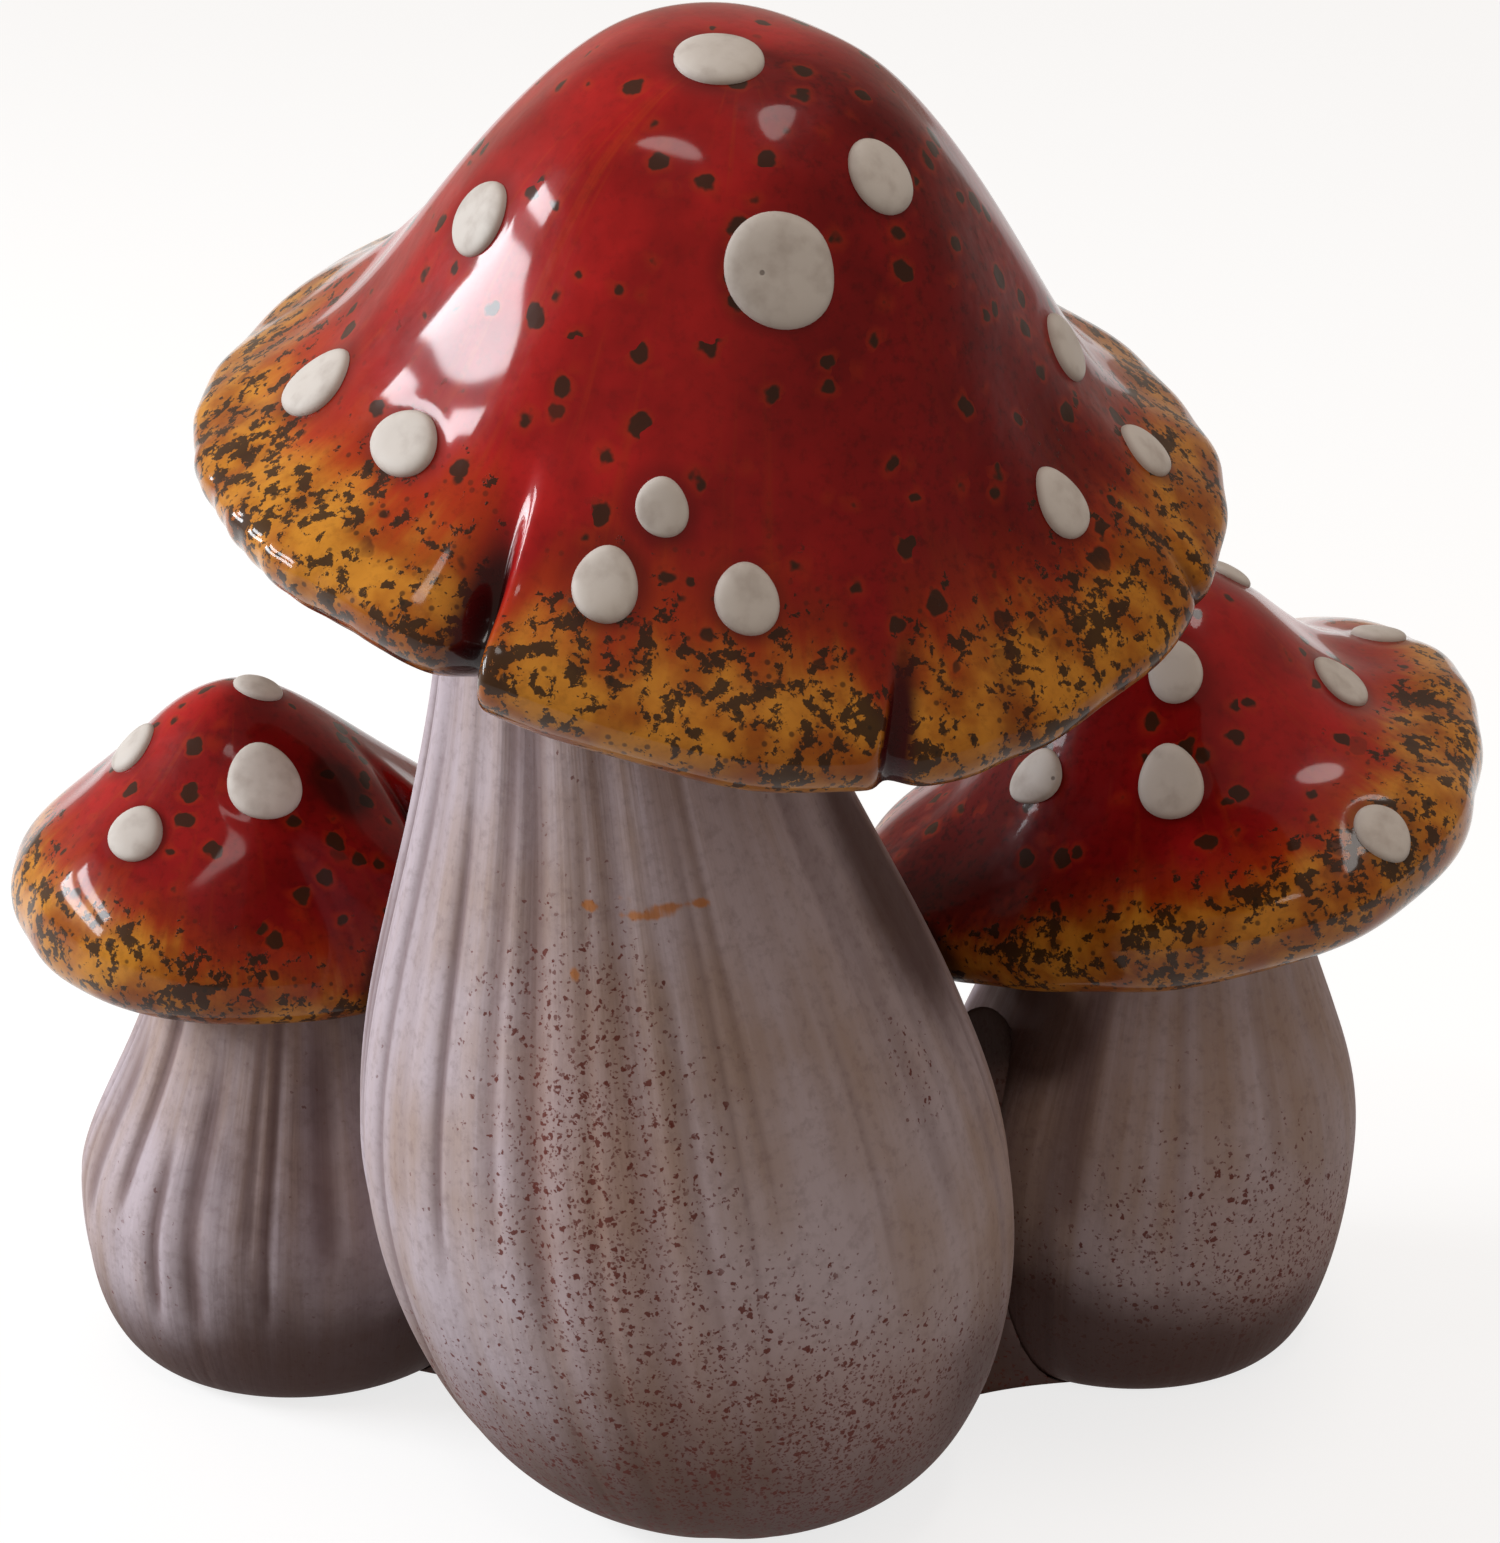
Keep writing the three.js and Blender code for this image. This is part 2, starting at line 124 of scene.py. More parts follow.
def plan_axes(bearing: float) -> tuple[Array, Array]:
    """Unit vectors in plan, one along a bearing and one a quarter turn anticlockwise of it."""
    outward = ring_of(math.radians(bearing))
    return outward, np.array([-outward[1], outward[0]])


def length(plan: Array) -> Array:
    """Lengths of vectors in plan."""
    return np.hypot(plan[..., 0], plan[..., 1])


def steps(count: int) -> Array:
    """Shares of the way after each of a number of even steps, the last of them 1."""
    return np.linspace(0, 1, count + 1)[1:]


def raised(plan: Array, height: Array) -> Array:
    """Points over the given places in plan at the given heights."""
    return np.concatenate([plan, height[..., None]], -1)


def ripple(waves: tuple[tuple[int, float, float], ...], around: Array) -> Array:
    """Sum of cosine waves round a rim.

    Args:
        waves: count round the rim, size and bearing of a peak of each wave.
        around: bearings in radians.

    Returns:
        The summed height of the waves at each bearing.
    """
    total = np.zeros_like(around)
    for count, size, peak in waves:
        total += size * np.cos(count * (around - math.radians(peak)))
    return total


def paint(colour: Colour) -> tuple[float, float, float, float]:
    """Linear colour of a colour that is written as screen values, by the sRGB curve.

    Args:
        colour: red, green and blue up to 255.

    Returns:
        Linear red, green and blue up to 1, with full alpha.
    """
    share = np.array(colour) / 255
    linear = np.where(share <= 0.04045, share / 12.92, ((share + 0.055) / 1.055) ** 2.4)
    return (*(float(value) for value in linear), 1.0)


def stand(name: str, data: bpy.types.ID) -> bpy.types.Object:
    """Makes an object of a mesh, lamp or camera.

    Args:
        name: the object's name.
        data: what it shows.

    Returns:
        The new object, linked to the scene.
    """
    made = bpy.data.objects.new(name, data)
    bpy.context.scene.collection.objects.link(made)
    return made


@dataclass
class Surface:
    """A closed surface as a grid of points whose columns run right round.

    Attributes:
        points: rows by columns by 3, millimetres in the part's frame. Rows run down the outside and
            columns run anticlockwise from above, so that the faces point outwards.
        closing: how the first and last rows are closed.
        marks: values or vectors that each point of the grid carries for its finish, by name.
    """

    points: Array
    closing: Closing
    marks: dict[str, Array] = field(default_factory=dict)

    def faces(self) -> list[list[int]]:
        """Covers the grid with quads, and each pole with a fan of triangles.

        Returns:
            Corner numbers of every face.
        """
        rows, columns = self.points.shape[:2]
        index = np.arange(rows * columns).reshape(rows, columns)
        beside = np.roll(index, -1, axis=1)
        if self.closing is Closing.LOOP:
            below, below_beside = np.roll(index, -1, axis=0), np.roll(beside, -1, axis=0)
            return np.stack([index, below, below_beside, beside], -1).reshape(-1, 4).tolist()
        quads = np.stack([index[:-1], index[1:], beside[1:], beside[:-1]], -1).reshape(-1, 4)
        top = np.full(columns, rows * columns)
        fans = [
            np.stack([top, index[0], beside[0]], -1),
            np.stack([top + 1, beside[-1], index[-1]], -1),
        ]
        return quads.tolist() + np.concatenate(fans).tolist()

    def spread(self, values: Array) -> Array:
        """Lays values of the grid out point by point, with the poles' means added at the end.

        Args:
            values: a value or vector for each point of the grid.

        Returns:
            One row per point of the mesh.
        """
        flat = values.reshape(-1, *values.shape[2:])
        if self.closing is Closing.LOOP:
            return flat
        poles = np.stack([values[0].mean(0), values[-1].mean(0)])
        return np.concatenate([flat, poles])

    def piece(self, name: str) -> bpy.types.Object:
        """Makes the surface a smooth mesh object, in metres, with its marks as attributes.

        Args:
            name: the object's name.

        Returns:
            The new object, linked to the scene.
        """
        mesh = bpy.data.meshes.new(name)
        mesh.from_pydata((self.spread(self.points) * MM).tolist(), [], self.faces())
        for mark, values in self.marks.items():
            flat = self.spread(values)
            vector = flat.ndim == 2
            kind, key = ("FLOAT_VECTOR", "vector") if vector else ("FLOAT", "value")
            layer = mesh.attributes.new(mark, kind, "POINT")
            layer.data.foreach_set(key, flat.astype(np.float32).ravel())
        mesh.shade_smooth()
        return stand(name, mesh)


class Wire:
    """An output socket of a material whose arithmetic adds Math nodes."""

    def __init__(self, bench: "Bench", socket: bpy.types.NodeSocket) -> None:
        """Keeps the material's bench and the socket."""
        self.bench = bench
        self.socket = socket

    def _math(self, operation: str, first: Any, second: Any) -> "Wire":
        """One Math node on two values or wires."""
        settings = {"operation": operation}
        return self.bench.node("ShaderNodeMath", settings, {0: first, 1: second})

    def __add__(self, other: Any) -> "Wire":
        """Sum."""
        return self._math("ADD", self, other)

    def __sub__(self, other: Any) -> "Wire":
        """Difference."""
        return self._math("SUBTRACT", self, other)

    def __rsub__(self, other: Any) -> "Wire":
        """Difference, with the wire on the right."""
        return self._math("SUBTRACT", other, self)

    def __mul__(self, other: Any) -> "Wire":
        """Product."""
        return self._math("MULTIPLY", self, other)

    __radd__, __rmul__ = __add__, __mul__

    def larger(self, other: Any) -> "Wire":
        """The larger of two values."""
        return self._math("MAXIMUM", self, other)

    def step(self, low: Any, high: Any) -> "Wire":
        """Rises smoothly from 0 at low to 1 at high, either of which may be a wire."""
        sockets = {"Value": self, "From Min": low, "From Max": high}
        return self.bench.node("ShaderNodeMapRange", {"interpolation_type": "SMOOTHSTEP"}, sockets)


class Bench:
    """Builds one procedural material out of nodes."""

    def __init__(self, name: str) -> None:
        """Starts an empty material.

        Args:
            name: the material's name.
        """
        self.material = bpy.data.materials.new(name)
        self.material.use_nodes = True
        self.tree = self.material.node_tree
        self.tree.nodes.clear()

    def node(
        self, kind: str, settings: dict[str, Any], sockets: dict[Any, Any], output: Any = 0
    ) -> Wire:
        """Adds a node of any kind.

        Args:
            kind: the node's type.
            settings: the node's own properties, set before its sockets.
            sockets: input values or wires, by name or number.
            output: name or number of the output that is wanted.

        Returns:
            The wire from that output.
        """
        made = self.tree.nodes.new(kind)
        for key, value in settings.items():
            setattr(made, key, value)
        for key, value in sockets.items():
            if isinstance(value, Wire):
                self.tree.links.new(value.socket, made.inputs[key])
            else:
                made.inputs[key].default_value = value
        return Wire(self, made.outputs[output])

    def place(self) -> Wire:
        """Object coordinates, which are the part's frame in metres."""
        return self.node("ShaderNodeTexCoord", {}, {}, "Object")

    def mark(self, name: str) -> Wire:
        """A value that the mesh carries."""
        return self.node("ShaderNodeAttribute", {"attribute_name": name}, {}, "Fac")

    def vector(self, operation: str, first: Wire, second: Any) -> Wire:
        """One Vector Math node on two vectors."""
        return self.node("ShaderNodeVectorMath", {"operation": operation}, {0: first, 1: second})

    def cloud(
        self, vector: Wire, scale: float, detail: float = 2.0, rough: float = 0.5, output: str = "Fac"
    ) -> Wire:
        """Soft noise.

        Args:
            vector: where it is read.
            scale: how many lumps fit in one unit of the vector.
            detail: how many finer octaves are added.
            rough: how strong the finer octaves are.
            output: Fac for a value or Color for three.

        Returns:
            The noise, with a mean of about a half.
        """
        sockets = {"Vector": vector, "Scale": scale, "Detail": detail, "Roughness": rough}
        return self.node("ShaderNodeTexNoise", {"noise_dimensions": "3D"}, sockets, output)

    def strokes(self, by: tuple[float, float, float], detail: float, rough: float = 0.5) -> Wire:
        """Soft noise drawn out along the compass that the mesh carries.

        Args:
            by: how many lumps fit in one unit of each part of the compass.
            detail: how many finer octaves are added.
            rough: how strong the finer octaves are.

        Returns:
            The noise, with a mean of about a half.
        """
        compass = self.node("ShaderNodeAttribute", {"attribute_name": "compass"}, {}, "Vector")
        return self.cloud(self.vector("MULTIPLY", compass, by), 1.0, detail, rough)

    def warp(self, vector: Wire, scale: float, amount: float) -> Wire:
        """Shifts a vector about by soft noise.

        Args:
            vector: the vector.
            scale: how many lumps of the noise fit in one unit of it.
            amount: how far the noise shifts it from end to end.

        Returns:
            The shifted vector.
        """
        noise = self.cloud(vector, scale, output="Color")
        centred = self.vector("SUBTRACT", noise, (0.5, 0.5, 0.5))
        return self.vector("ADD", vector, self.vector("MULTIPLY", centred, (amount, amount, amount)))

    def cells(self, vector: Wire, scale: float) -> tuple[Wire, Wire, Wire]:
        """Scattered points.

        Args:
            vector: where they are read.
            scale: how many cells fit in one unit of the vector.

        Returns:
            The distance to the nearest point in cells, and two random values of that point.
        """
        made = self.node("ShaderNodeTexVoronoi", {}, {"Vector": vector, "Scale": scale}, "Distance")
        colour = Wire(self, made.socket.node.outputs["Color"])
        first = self.node("ShaderNodeSeparateColor", {}, {0: colour}, 0)
        return made, first, Wire(self, first.socket.node.outputs[1])

    def mix(self, first: Any, second: Any, share: Any) -> Wire:
        """A colour that goes from the first to the second, wires or screen values, with the share."""
        ends = [end if isinstance(end, Wire) else paint(end) for end in (first, second)]
        return self.node("ShaderNodeMix", {"data_type": "RGBA"}, {0: share, 6: ends[0], 7: ends[1]}, 2)

    def coats(self, colour: Wire, coats: tuple[tuple[Colour, Wire], ...]) -> Wire:
        """Lays coats of colour over each other.

        Args:
            colour: what lies under them.
            coats: the colour of each coat, and the share of it that covers.

        Returns:
            The colour on top.
        """
        for tint, share in coats:
            colour = self.mix(colour, tint, share)
        return colour

    def bump(self, height: Wire, depth: float) -> Wire:
        """A normal for a relief of the given depth in metres."""
        return self.node("ShaderNodeBump", {}, {"Height": height, "Distance": depth})

    def finish(self, sockets: dict[str, Any]) -> bpy.types.Material:
        """Ends the material in one Principled shader.

        Args:
            sockets: values or wires of the shader's inputs.

        Returns:
            The finished material.
        """
        shader = self.node("ShaderNodeBsdfPrincipled", {}, sockets)
        self.node_output(shader)
        return self.material

    def node_output(self, shader: Wire) -> None:
        """Links a shader to the material's output."""
        end = self.tree.nodes.new("ShaderNodeOutputMaterial")
        self.tree.links.new(shader.socket, end.inputs["Surface"])


@dataclass(frozen=True)
class Glaze:
    """Glossy cap glaze: red over orange over an ochre rim, sponged and specked with dark brown.

    Names in capitals say how many lumps or cells of a pattern fit in a metre, how many of the streaks
    fit along the compass, how the cells are warped, and how deep the relief is in metres.
    """

    deep: Colour = (148, 10, 13)
    bright: Colour = (194, 25, 26)
    wine: Colour = (66, 4, 7)
    ember: Colour = (182, 54, 14)
    ochre: Colour = (220, 146, 46)
    honey: Colour = (170, 90, 18)
    brown: Colour = (46, 32, 20)
    soot_and_shade: Colour = (34, 9, 9)
    roughness: float = 0.36
    gloss: float = 0.07
    coat_ior: float = 1.34
    coat_roughness: float = 0.08

    STREAKS = (11.0, 11.0, 1.5)
    DRIFT = 60.0
    REDS = 80.0
    OCHRES = 150.0
    DEPTHS = 45.0
    GRAIN = 800.0
    SPECKS, SPECK_WARP = 290.0, (420.0, 0.002)
    SPONGE, SPONGE_WARP = 560.0, (700.0, 0.001)
    PATCHES = 110.0
    DUST = 760.0
    STAINS = 260.0
    LUMPS, PIMPLES, RELIEF = 85.0, 480.0, 0.0002

    def material(self) -> bpy.types.Material:
        """Works out the glaze from the cap's marks.

        Reach less flow says how far down the cap the colours have got. Painted shade on the shaded side
        and in the clefts, pooled glaze round the drops, stains, and dark paint with painted shade by
        the next stem darken it.

        Returns:
            The finished material.
        """
        bench = Bench("cap_glaze")
        place, groove = bench.place(), bench.mark("groove")
        streak = bench.strokes(self.STREAKS, 4.0, 0.6)
        drift = bench.cloud(place, self.DRIFT, 3.0)
        edge = bench.mark("reach") - bench.mark("flow") + 0.16 * (drift - 0.5) + 0.18 * (streak - 0.5)
        red = bench.mix(self.deep, self.bright, bench.cloud(place, self.REDS, 4.0).step(0.3, 0.7))
        red = bench.mix(red, self.ember, 0.5 * streak.step(0.54, 0.76))
        warm = bench.mix(red, self.ember, edge.step(0.66, 0.82))
        rim = bench.mix(self.honey, self.ochre, bench.cloud(place, self.OCHRES, 3.0).step(0.36, 0.64))
        # Painted shade on the cap's shaded side, with random depth of colour and fine grain.
        shade = bench.mark("painted_shade") + 0.2 * (bench.cloud(place, self.DEPTHS, 3.0) - 0.5)
        grain = bench.cloud(place, self.GRAIN, 4.0, 0.65).step(0.46, 0.74)
        shade = shade * (1 - 0.7 * edge.step(0.74, 0.9)) + 0.22 * grain
        specks, size, chance = bench.cells(bench.warp(place, *self.SPECK_WARP), self.SPECKS)
        radius = 0.12 + 0.31 * size
        kept = chance.step(0.57, 0.59) * (1 - edge.step(0.82, 0.95))
        halo = kept * (1 - specks.step(radius - 0.05, radius + 0.3))
        speck = kept * (1 - specks.step(radius - 0.05, radius + 0.04))
        sponge = bench.cloud(bench.warp(place, *self.SPONGE_WARP), self.SPONGE, 4.0, 0.64)
        patch = bench.cloud(place, self.PATCHES, 3.0)
        level = 0.70 - 0.175 * edge.step(0.66, 0.9) - 0.45 * (patch - 0.5)
        blot = sponge.step(level, level + 0.04) * edge.step(0.62, 0.74)
        dust, chosen, _ = bench.cells(place, self.DUST)
        dusting = (1 - dust.step(0.16, 0.3)) * chosen.step(0.58, 0.62) * edge.step(0.6, 0.86)
        stain = bench.mark("stain") + 0.6 * (bench.cloud(place, self.STAINS, 3.0) - 0.5)
        # Painted shade deep in the clefts, and dark paint with painted shade by the next stem.
        dark = groove.step(0.45, 1.0).larger(bench.mark("joint").step(0.3, 0.95) * 0.85)
        colour = bench.coats(bench.mix(warm, rim, edge.step(0.78, 0.91)), (
            (self.wine, shade.larger(bench.mark("moat") * 0.5)),
            (self.ember, 0.32 * halo),
            (self.brown, 0.92 * blot.larger(speck)),
            (self.brown, 0.7 * dusting),
            (self.soot_and_shade, 0.75 * stain.step(0.3, 0.9)),
            # Painted shade in the clefts.
            (self.wine, groove.step(0.08, 0.5)),
            (self.soot_and_shade, 0.9 * dark),
        ))
        lumps, pimples = bench.cloud(place, self.LUMPS, 3.0), bench.cloud(place, self.PIMPLES, 2.0)
        return bench.finish({
            "Base Color": colour,
            "Roughness": self.roughness + 0.12 * blot,
            "Specular IOR Level": self.gloss,
            # Less gloss where the painted shade lies.
            "Coat Weight": 1 - 0.95 * bench.mark("painted_shade"),
            "Coat Roughness": self.coat_roughness,
            "Coat IOR": self.coat_ior,
            "Normal": bench.bump(2 * lumps + 0.3 * blot + 0.25 * pimples, self.RELIEF),
        })


@dataclass(frozen=True)
class StemPaint:
    """Matt stem paint: lilac white brushed along the lines, mauve in them, spattered red-brown.

    Names in capitals say how many strokes fit along the compass, how many lumps or cells of a pattern
    fit in a metre, how the cells are warped, and how deep the relief is in metres.
    """

    lilac: Colour = (208, 194, 202)
    chalk: Colour = (184, 160, 150)
    mauve: Colour = (120, 96, 96)
    tan: Colour = (176, 140, 126)
    umber: Colour = (82, 54, 46)
    rust: Colour = (108, 44, 35)
    dusk: Colour = (80, 54, 48)
    soot_and_shade: Colour = (40, 26, 22)
    scratch: Colour = (204, 134, 78)
    roughness: float = 0.72
    gloss: float = 0.25

    BRUSH, SCORES, RIDGES = (7.0, 7.0, 0.9), (30.0, 30.0, 6.0), (16.0, 16.0, 2.0)
    DRIFT = 38.0
    GRAIN = 700.0
    SPATTER = 70.0
    SMEARS = 90.0
    SEAMS = 160.0
    DOTS, DOT_WARP = 1900.0, (1500.0, 0.001)
    BLOTS, BLOT_WARP = 1150.0, (1200.0, 0.0014)
    PIMPLES, RELIEF = 900.0, 0.0002

    def material(self) -> bpy.types.Material:
        """Works out the paint from the stem's marks.

        Height darkens the foot, groove lays mauve in the lines, spatter and the mark of dark paint with
        painted shade say how thickly those lie, joint darkens the seam with dark paint and painted
        shade, and scratch bares the clay.

        Returns:
            The finished material.
        """
        bench = Bench("stem_paint")
        place = bench.place()
        brush = bench.strokes(self.BRUSH, 4.0, 0.55)
        drift = bench.cloud(place, self.DRIFT, 3.0)
        base = bench.mix(self.chalk, self.lilac, (brush * 0.4 + drift * 0.6).step(0.36, 0.6))
        grain = bench.cloud(place, self.GRAIN, 4.0, 0.65)
        density = bench.mark("spatter") + 0.4 * (bench.cloud(place, self.SPATTER, 3.0) - 0.5)
        low = bench.mark("height") + 0.2 * (drift - 0.5) + 0.1 * (brush - 0.5)
        fine, fine_size, fine_chance = bench.cells(bench.warp(place, *self.DOT_WARP), self.DOTS)
        broad, broad_size, broad_chance = bench.cells(bench.warp(place, *self.BLOT_WARP), self.BLOTS)
        dots = 1 - fine.step(0.16 + 0.2 * fine_size, 0.28 + 0.26 * fine_size)
        blots = 1 - broad.step(0.12 + 0.28 * broad_size, 0.22 + 0.32 * broad_size)
        dots = dots * (1 - fine_chance.step(0.9 * density - 0.08, 0.9 * density))
        blots = blots * (1 - broad_chance.step(0.8 * density - 0.14, 0.8 * density - 0.06))
        # Dark paint and painted shade in corners under the caps, between the stems and on shaded sides.
        smear_and_shade = bench.mark("smear_and_shade") + 0.5 * (bench.cloud(place, self.SMEARS, 4.0, 0.6) - 0.5)
        # The seam by the next stem is darkened: dark paint and painted shade.
        seam = bench.mark("joint") + 0.5 * (bench.cloud(place, self.SEAMS, 4.0) - 0.5)
        score = bench.mark("scratch") + 0.7 * (bench.strokes(self.SCORES, 3.0) - 0.5)
        colour = bench.coats(base, (
            (self.mauve, 0.75 * bench.mark("groove").step(0.1, 0.8)),
            (self.mauve, 0.3 * grain.step(0.45, 0.75)),
            (self.tan, 0.45 * density.step(0.1, 0.9)),
            (self.umber, 0.85 * (1 - low.step(0.0, 0.3))),
            (self.rust, 0.7 * dots),
            (self.rust, 0.9 * blots),
            (self.dusk, 0.85 * smear_and_shade.step(0.2, 0.95)),
            (self.soot_and_shade, 0.8 * seam.step(0.55, 1.05)),
            (self.scratch, 0.9 * score.step(0.25, 0.6)),
        ))
        relief = bench.strokes(self.RIDGES, 3.0) + 0.3 * bench.cloud(place, self.PIMPLES, 2.0)
        return bench.finish({
            "Base Color": colour,
            "Roughness": self.roughness + 0.14 * (brush - 0.5),
            "Specular IOR Level": self.gloss,
            "Normal": bench.bump(relief, self.RELIEF),
        })


@dataclass(frozen=True)
class Slip:
    """Satin white slip of the raised drops, faintly mottled and pitted.

    Names in capitals say how many lumps or pits fit in a metre, and how deep the relief is in metres.
    """

    white: Colour = (222, 215, 208)
    shade: Colour = (198, 188, 180)
    pit: Colour = (110, 98, 92)
    roughness: float = 0.5
    gloss: float = 0.15

    MOTTLE = 320.0
    PITS = 420.0
    LUMPS, RELIEF = 240.0, 0.00015

    def material(self) -> bpy.types.Material:
        """Works out the slip from soft mottling, a few pits and the mark of the drop's edge.

        Returns:
            The finished material.
        """
        bench = Bench("dot_slip")
        place = bench.place()
        mottle = bench.cloud(place, self.MOTTLE, 4.0)
        pits, _, chance = bench.cells(place, self.PITS)
        pitted = (1 - pits.step(0.08, 0.14)) * chance.step(0.93, 0.95)
        colour = bench.coats(bench.mix(self.white, self.shade, mottle.step(0.42, 0.78)), (
            (self.pit, 0.75 * pitted),
            (self.shade, 0.6 * bench.mark("edge")),
        ))
        return bench.finish({
            "Base Color": colour,
            "Roughness": self.roughness + 0.15 * (mottle - 0.5),
            "Specular IOR Level": self.gloss,
            "Normal": bench.bump(bench.cloud(place, self.LUMPS) - 0.5 * pitted, self.RELIEF),
        })


@dataclass(frozen=True)
class Patch:
    """A stem patch of spatter, or dark paint with painted shade: bearing and spread round it, height,
    reach, amount.
    """

    bearing: float
    spread: float
    height: float
    reach: float
    amount: float

    def cover(self, around: Array, height: Array) -> Array:
        """How thickly the patch lies: a bell curve round the stem times one up it."""
        aside = degrees_off(self.bearing, around)
        return self.amount * bell(aside, self.spread) * bell(height - self.height, self.reach)


@dataclass(frozen=True)
class Stroke:
    """A scratch across the paint: bearing and height of its middle, length, thickness and slant."""

    bearing: float
    height: float
    length: float
    thickness: float
    slant: float


@dataclass
class StemCasting:
    """A hollow egg-shaped stem with an open neck and a pour hole in its foot ring.

    Attributes:
        name: name of its toadstool.
        foot, hole: radii of the foot ring and of the pour hole.
        belly, belly_height: largest radius and where it is.
        shoulder, throat: how far the wall stays upright over the belly and under the neck's top.
        neck, height, lean: radius and height of the neck, and where its top stands off the foot.
        wall: thickness of the casting.
        flutes, flute_depth: broad shallow flutes round the stem.
        lines, line_depth, line_fade, seed: engraved lines, their depth, how much they fade towards
            the front right, and the seed of their random places.
        spatters, smears_and_shades, strokes: paint marks, with painted shade in the dark patches.
        foot_spatter: how heavily the spatter lies at the foot.
        rows, columns: grid of the outer wall.
        base: where the middle of the foot stands.
    """

    name: str
    foot: float
    hole: float
    belly: float
    belly_height: float
    shoulder: float
    throat: float
    neck: float
    height: float
    lean: tuple[float, float]
    wall: float
    flutes: int
    flute_depth: float
    lines: int
    line_depth: float
    line_fade: float
    seed: int
    spatters: tuple[Patch, ...] = ()
    smears_and_shades: tuple[Patch, ...] = ()
    strokes: tuple[Stroke, ...] = ()
    foot_spatter: float = 0.5
    rows: int = 120
    columns: int = 300
    base: Array = field(default_factory=lambda: np.zeros(2))

    # How far flutes fade and take mauve, where they fade, and how high the foot is spattered.
    FLUTE_FADE = 0.8
    FLUTE_MAUVE = 0.35
    FADE_BEARING = math.radians(-50)
    FOOT_SPATTER_REACH = 44.0
    # What each line's place, depth, width, start and end are drawn from, how it strays and how it ends.
    LINE_JITTER = (-0.4, 0.4)
    LINE_DEPTHS = (0.2, 1.0)
    LINE_WIDTHS = (0.5, 2.4)
    LINE_STARTS, LINE_ENDS = (-0.1, 0.35), (0.6, 1.2)
    LINE_DRIFT, LINE_WANDER, LINE_BENDS, LINE_PHASE = 0.05, 0.02, 7, 3
    LINE_RISE, LINE_FALL = 0.12, 0.2
    # Distances from the next stem over which the seam's dark paint and painted shade fade out.
    SEAM_SPAN = (0.5, 4.5)
    # Rows of the foot ring and of the floor inside it, and the lowest row of the pour hole.
    RING_ROWS, FLOOR_ROWS, HOLE_FOOT = 5, 2, 0.3

    def wall_curve(self, inset: float, rows: int) -> tuple[Array, Array]:
        """Profile of the wall from the foot to the neck, moved in by a depth.

        The wall swells on a quarter ellipse to the belly and draws in to the neck on a cubic curve
        that leaves the belly and meets the neck upright.

        Args:
            inset: how far the profile is moved in along its normal.
            rows: how many steps each of the two stretches has.

        Returns:
            Radii and heights of the profile.
        """
        swing = np.linspace(0, QUARTER, rows + 1)
        swell = self.belly - self.foot
        low = np.stack([self.foot + swell * np.sin(swing), self.belly_height * (1 - np.cos(swing))])
        low_along = np.stack([swell * np.cos(swing), self.belly_height * np.sin(swing)])
        way = steps(rows)
        knots = np.array([
            [self.belly, self.belly_height],
            [self.belly, self.belly_height + self.shoulder],
            [self.neck, self.height - self.throat],
            [self.neck, self.height],
        ])
        back = 1 - way
        blend = np.stack([back**3, 3 * back**2 * way, 3 * back * way**2, way**3])
        slope = np.stack([back**2, 2 * back * way, way**2])
        high, high_along = knots.T @ blend, np.diff(knots, axis=0).T @ slope
        points = np.concatenate([low, high], axis=1)
        along = np.concatenate([low_along, high_along], axis=1)
        along /= np.hypot(*along)
        return points[0] - inset * along[1], points[1] + inset * along[0]

    def axis(self, height: Array) -> Array:
        """Middle of the leaning stem at each height, as x and y."""
        return self.base + np.asarray(height)[..., None] / self.height * np.array(self.lean)

    def radius(self, height: Array) -> Array:
        """Outside radius of the stem at each height."""
        radii, heights = self.wall_curve(0.0, self.rows)
        return np.interp(height, heights, radii)

    def distance(self, points: Array) -> Array:
        """How far each point lies outside the stem's wall, measured level from its axis."""
        away = points[..., :2] - self.axis(points[..., 2])
        return length(away) - self.radius(points[..., 2])

    def push_clear(self, points: Array, gap: Any) -> Array:
        """Moves the points that lie within a gap of the stem straight out from its axis.

        Args:
            points: points in the cluster.
            gap: least distance to the wall that is kept.

        Returns:
            The points, none of them nearer than the gap.
        """
        middle = self.axis(points[..., 2])
        away = points[..., :2] - middle
        reach = np.maximum(length(away), TINY)
        wanted = np.maximum(reach, self.radius(points[..., 2]) + gap)
        level = middle + away * (wanted / reach)[..., None]
        return raised(level, points[..., 2])

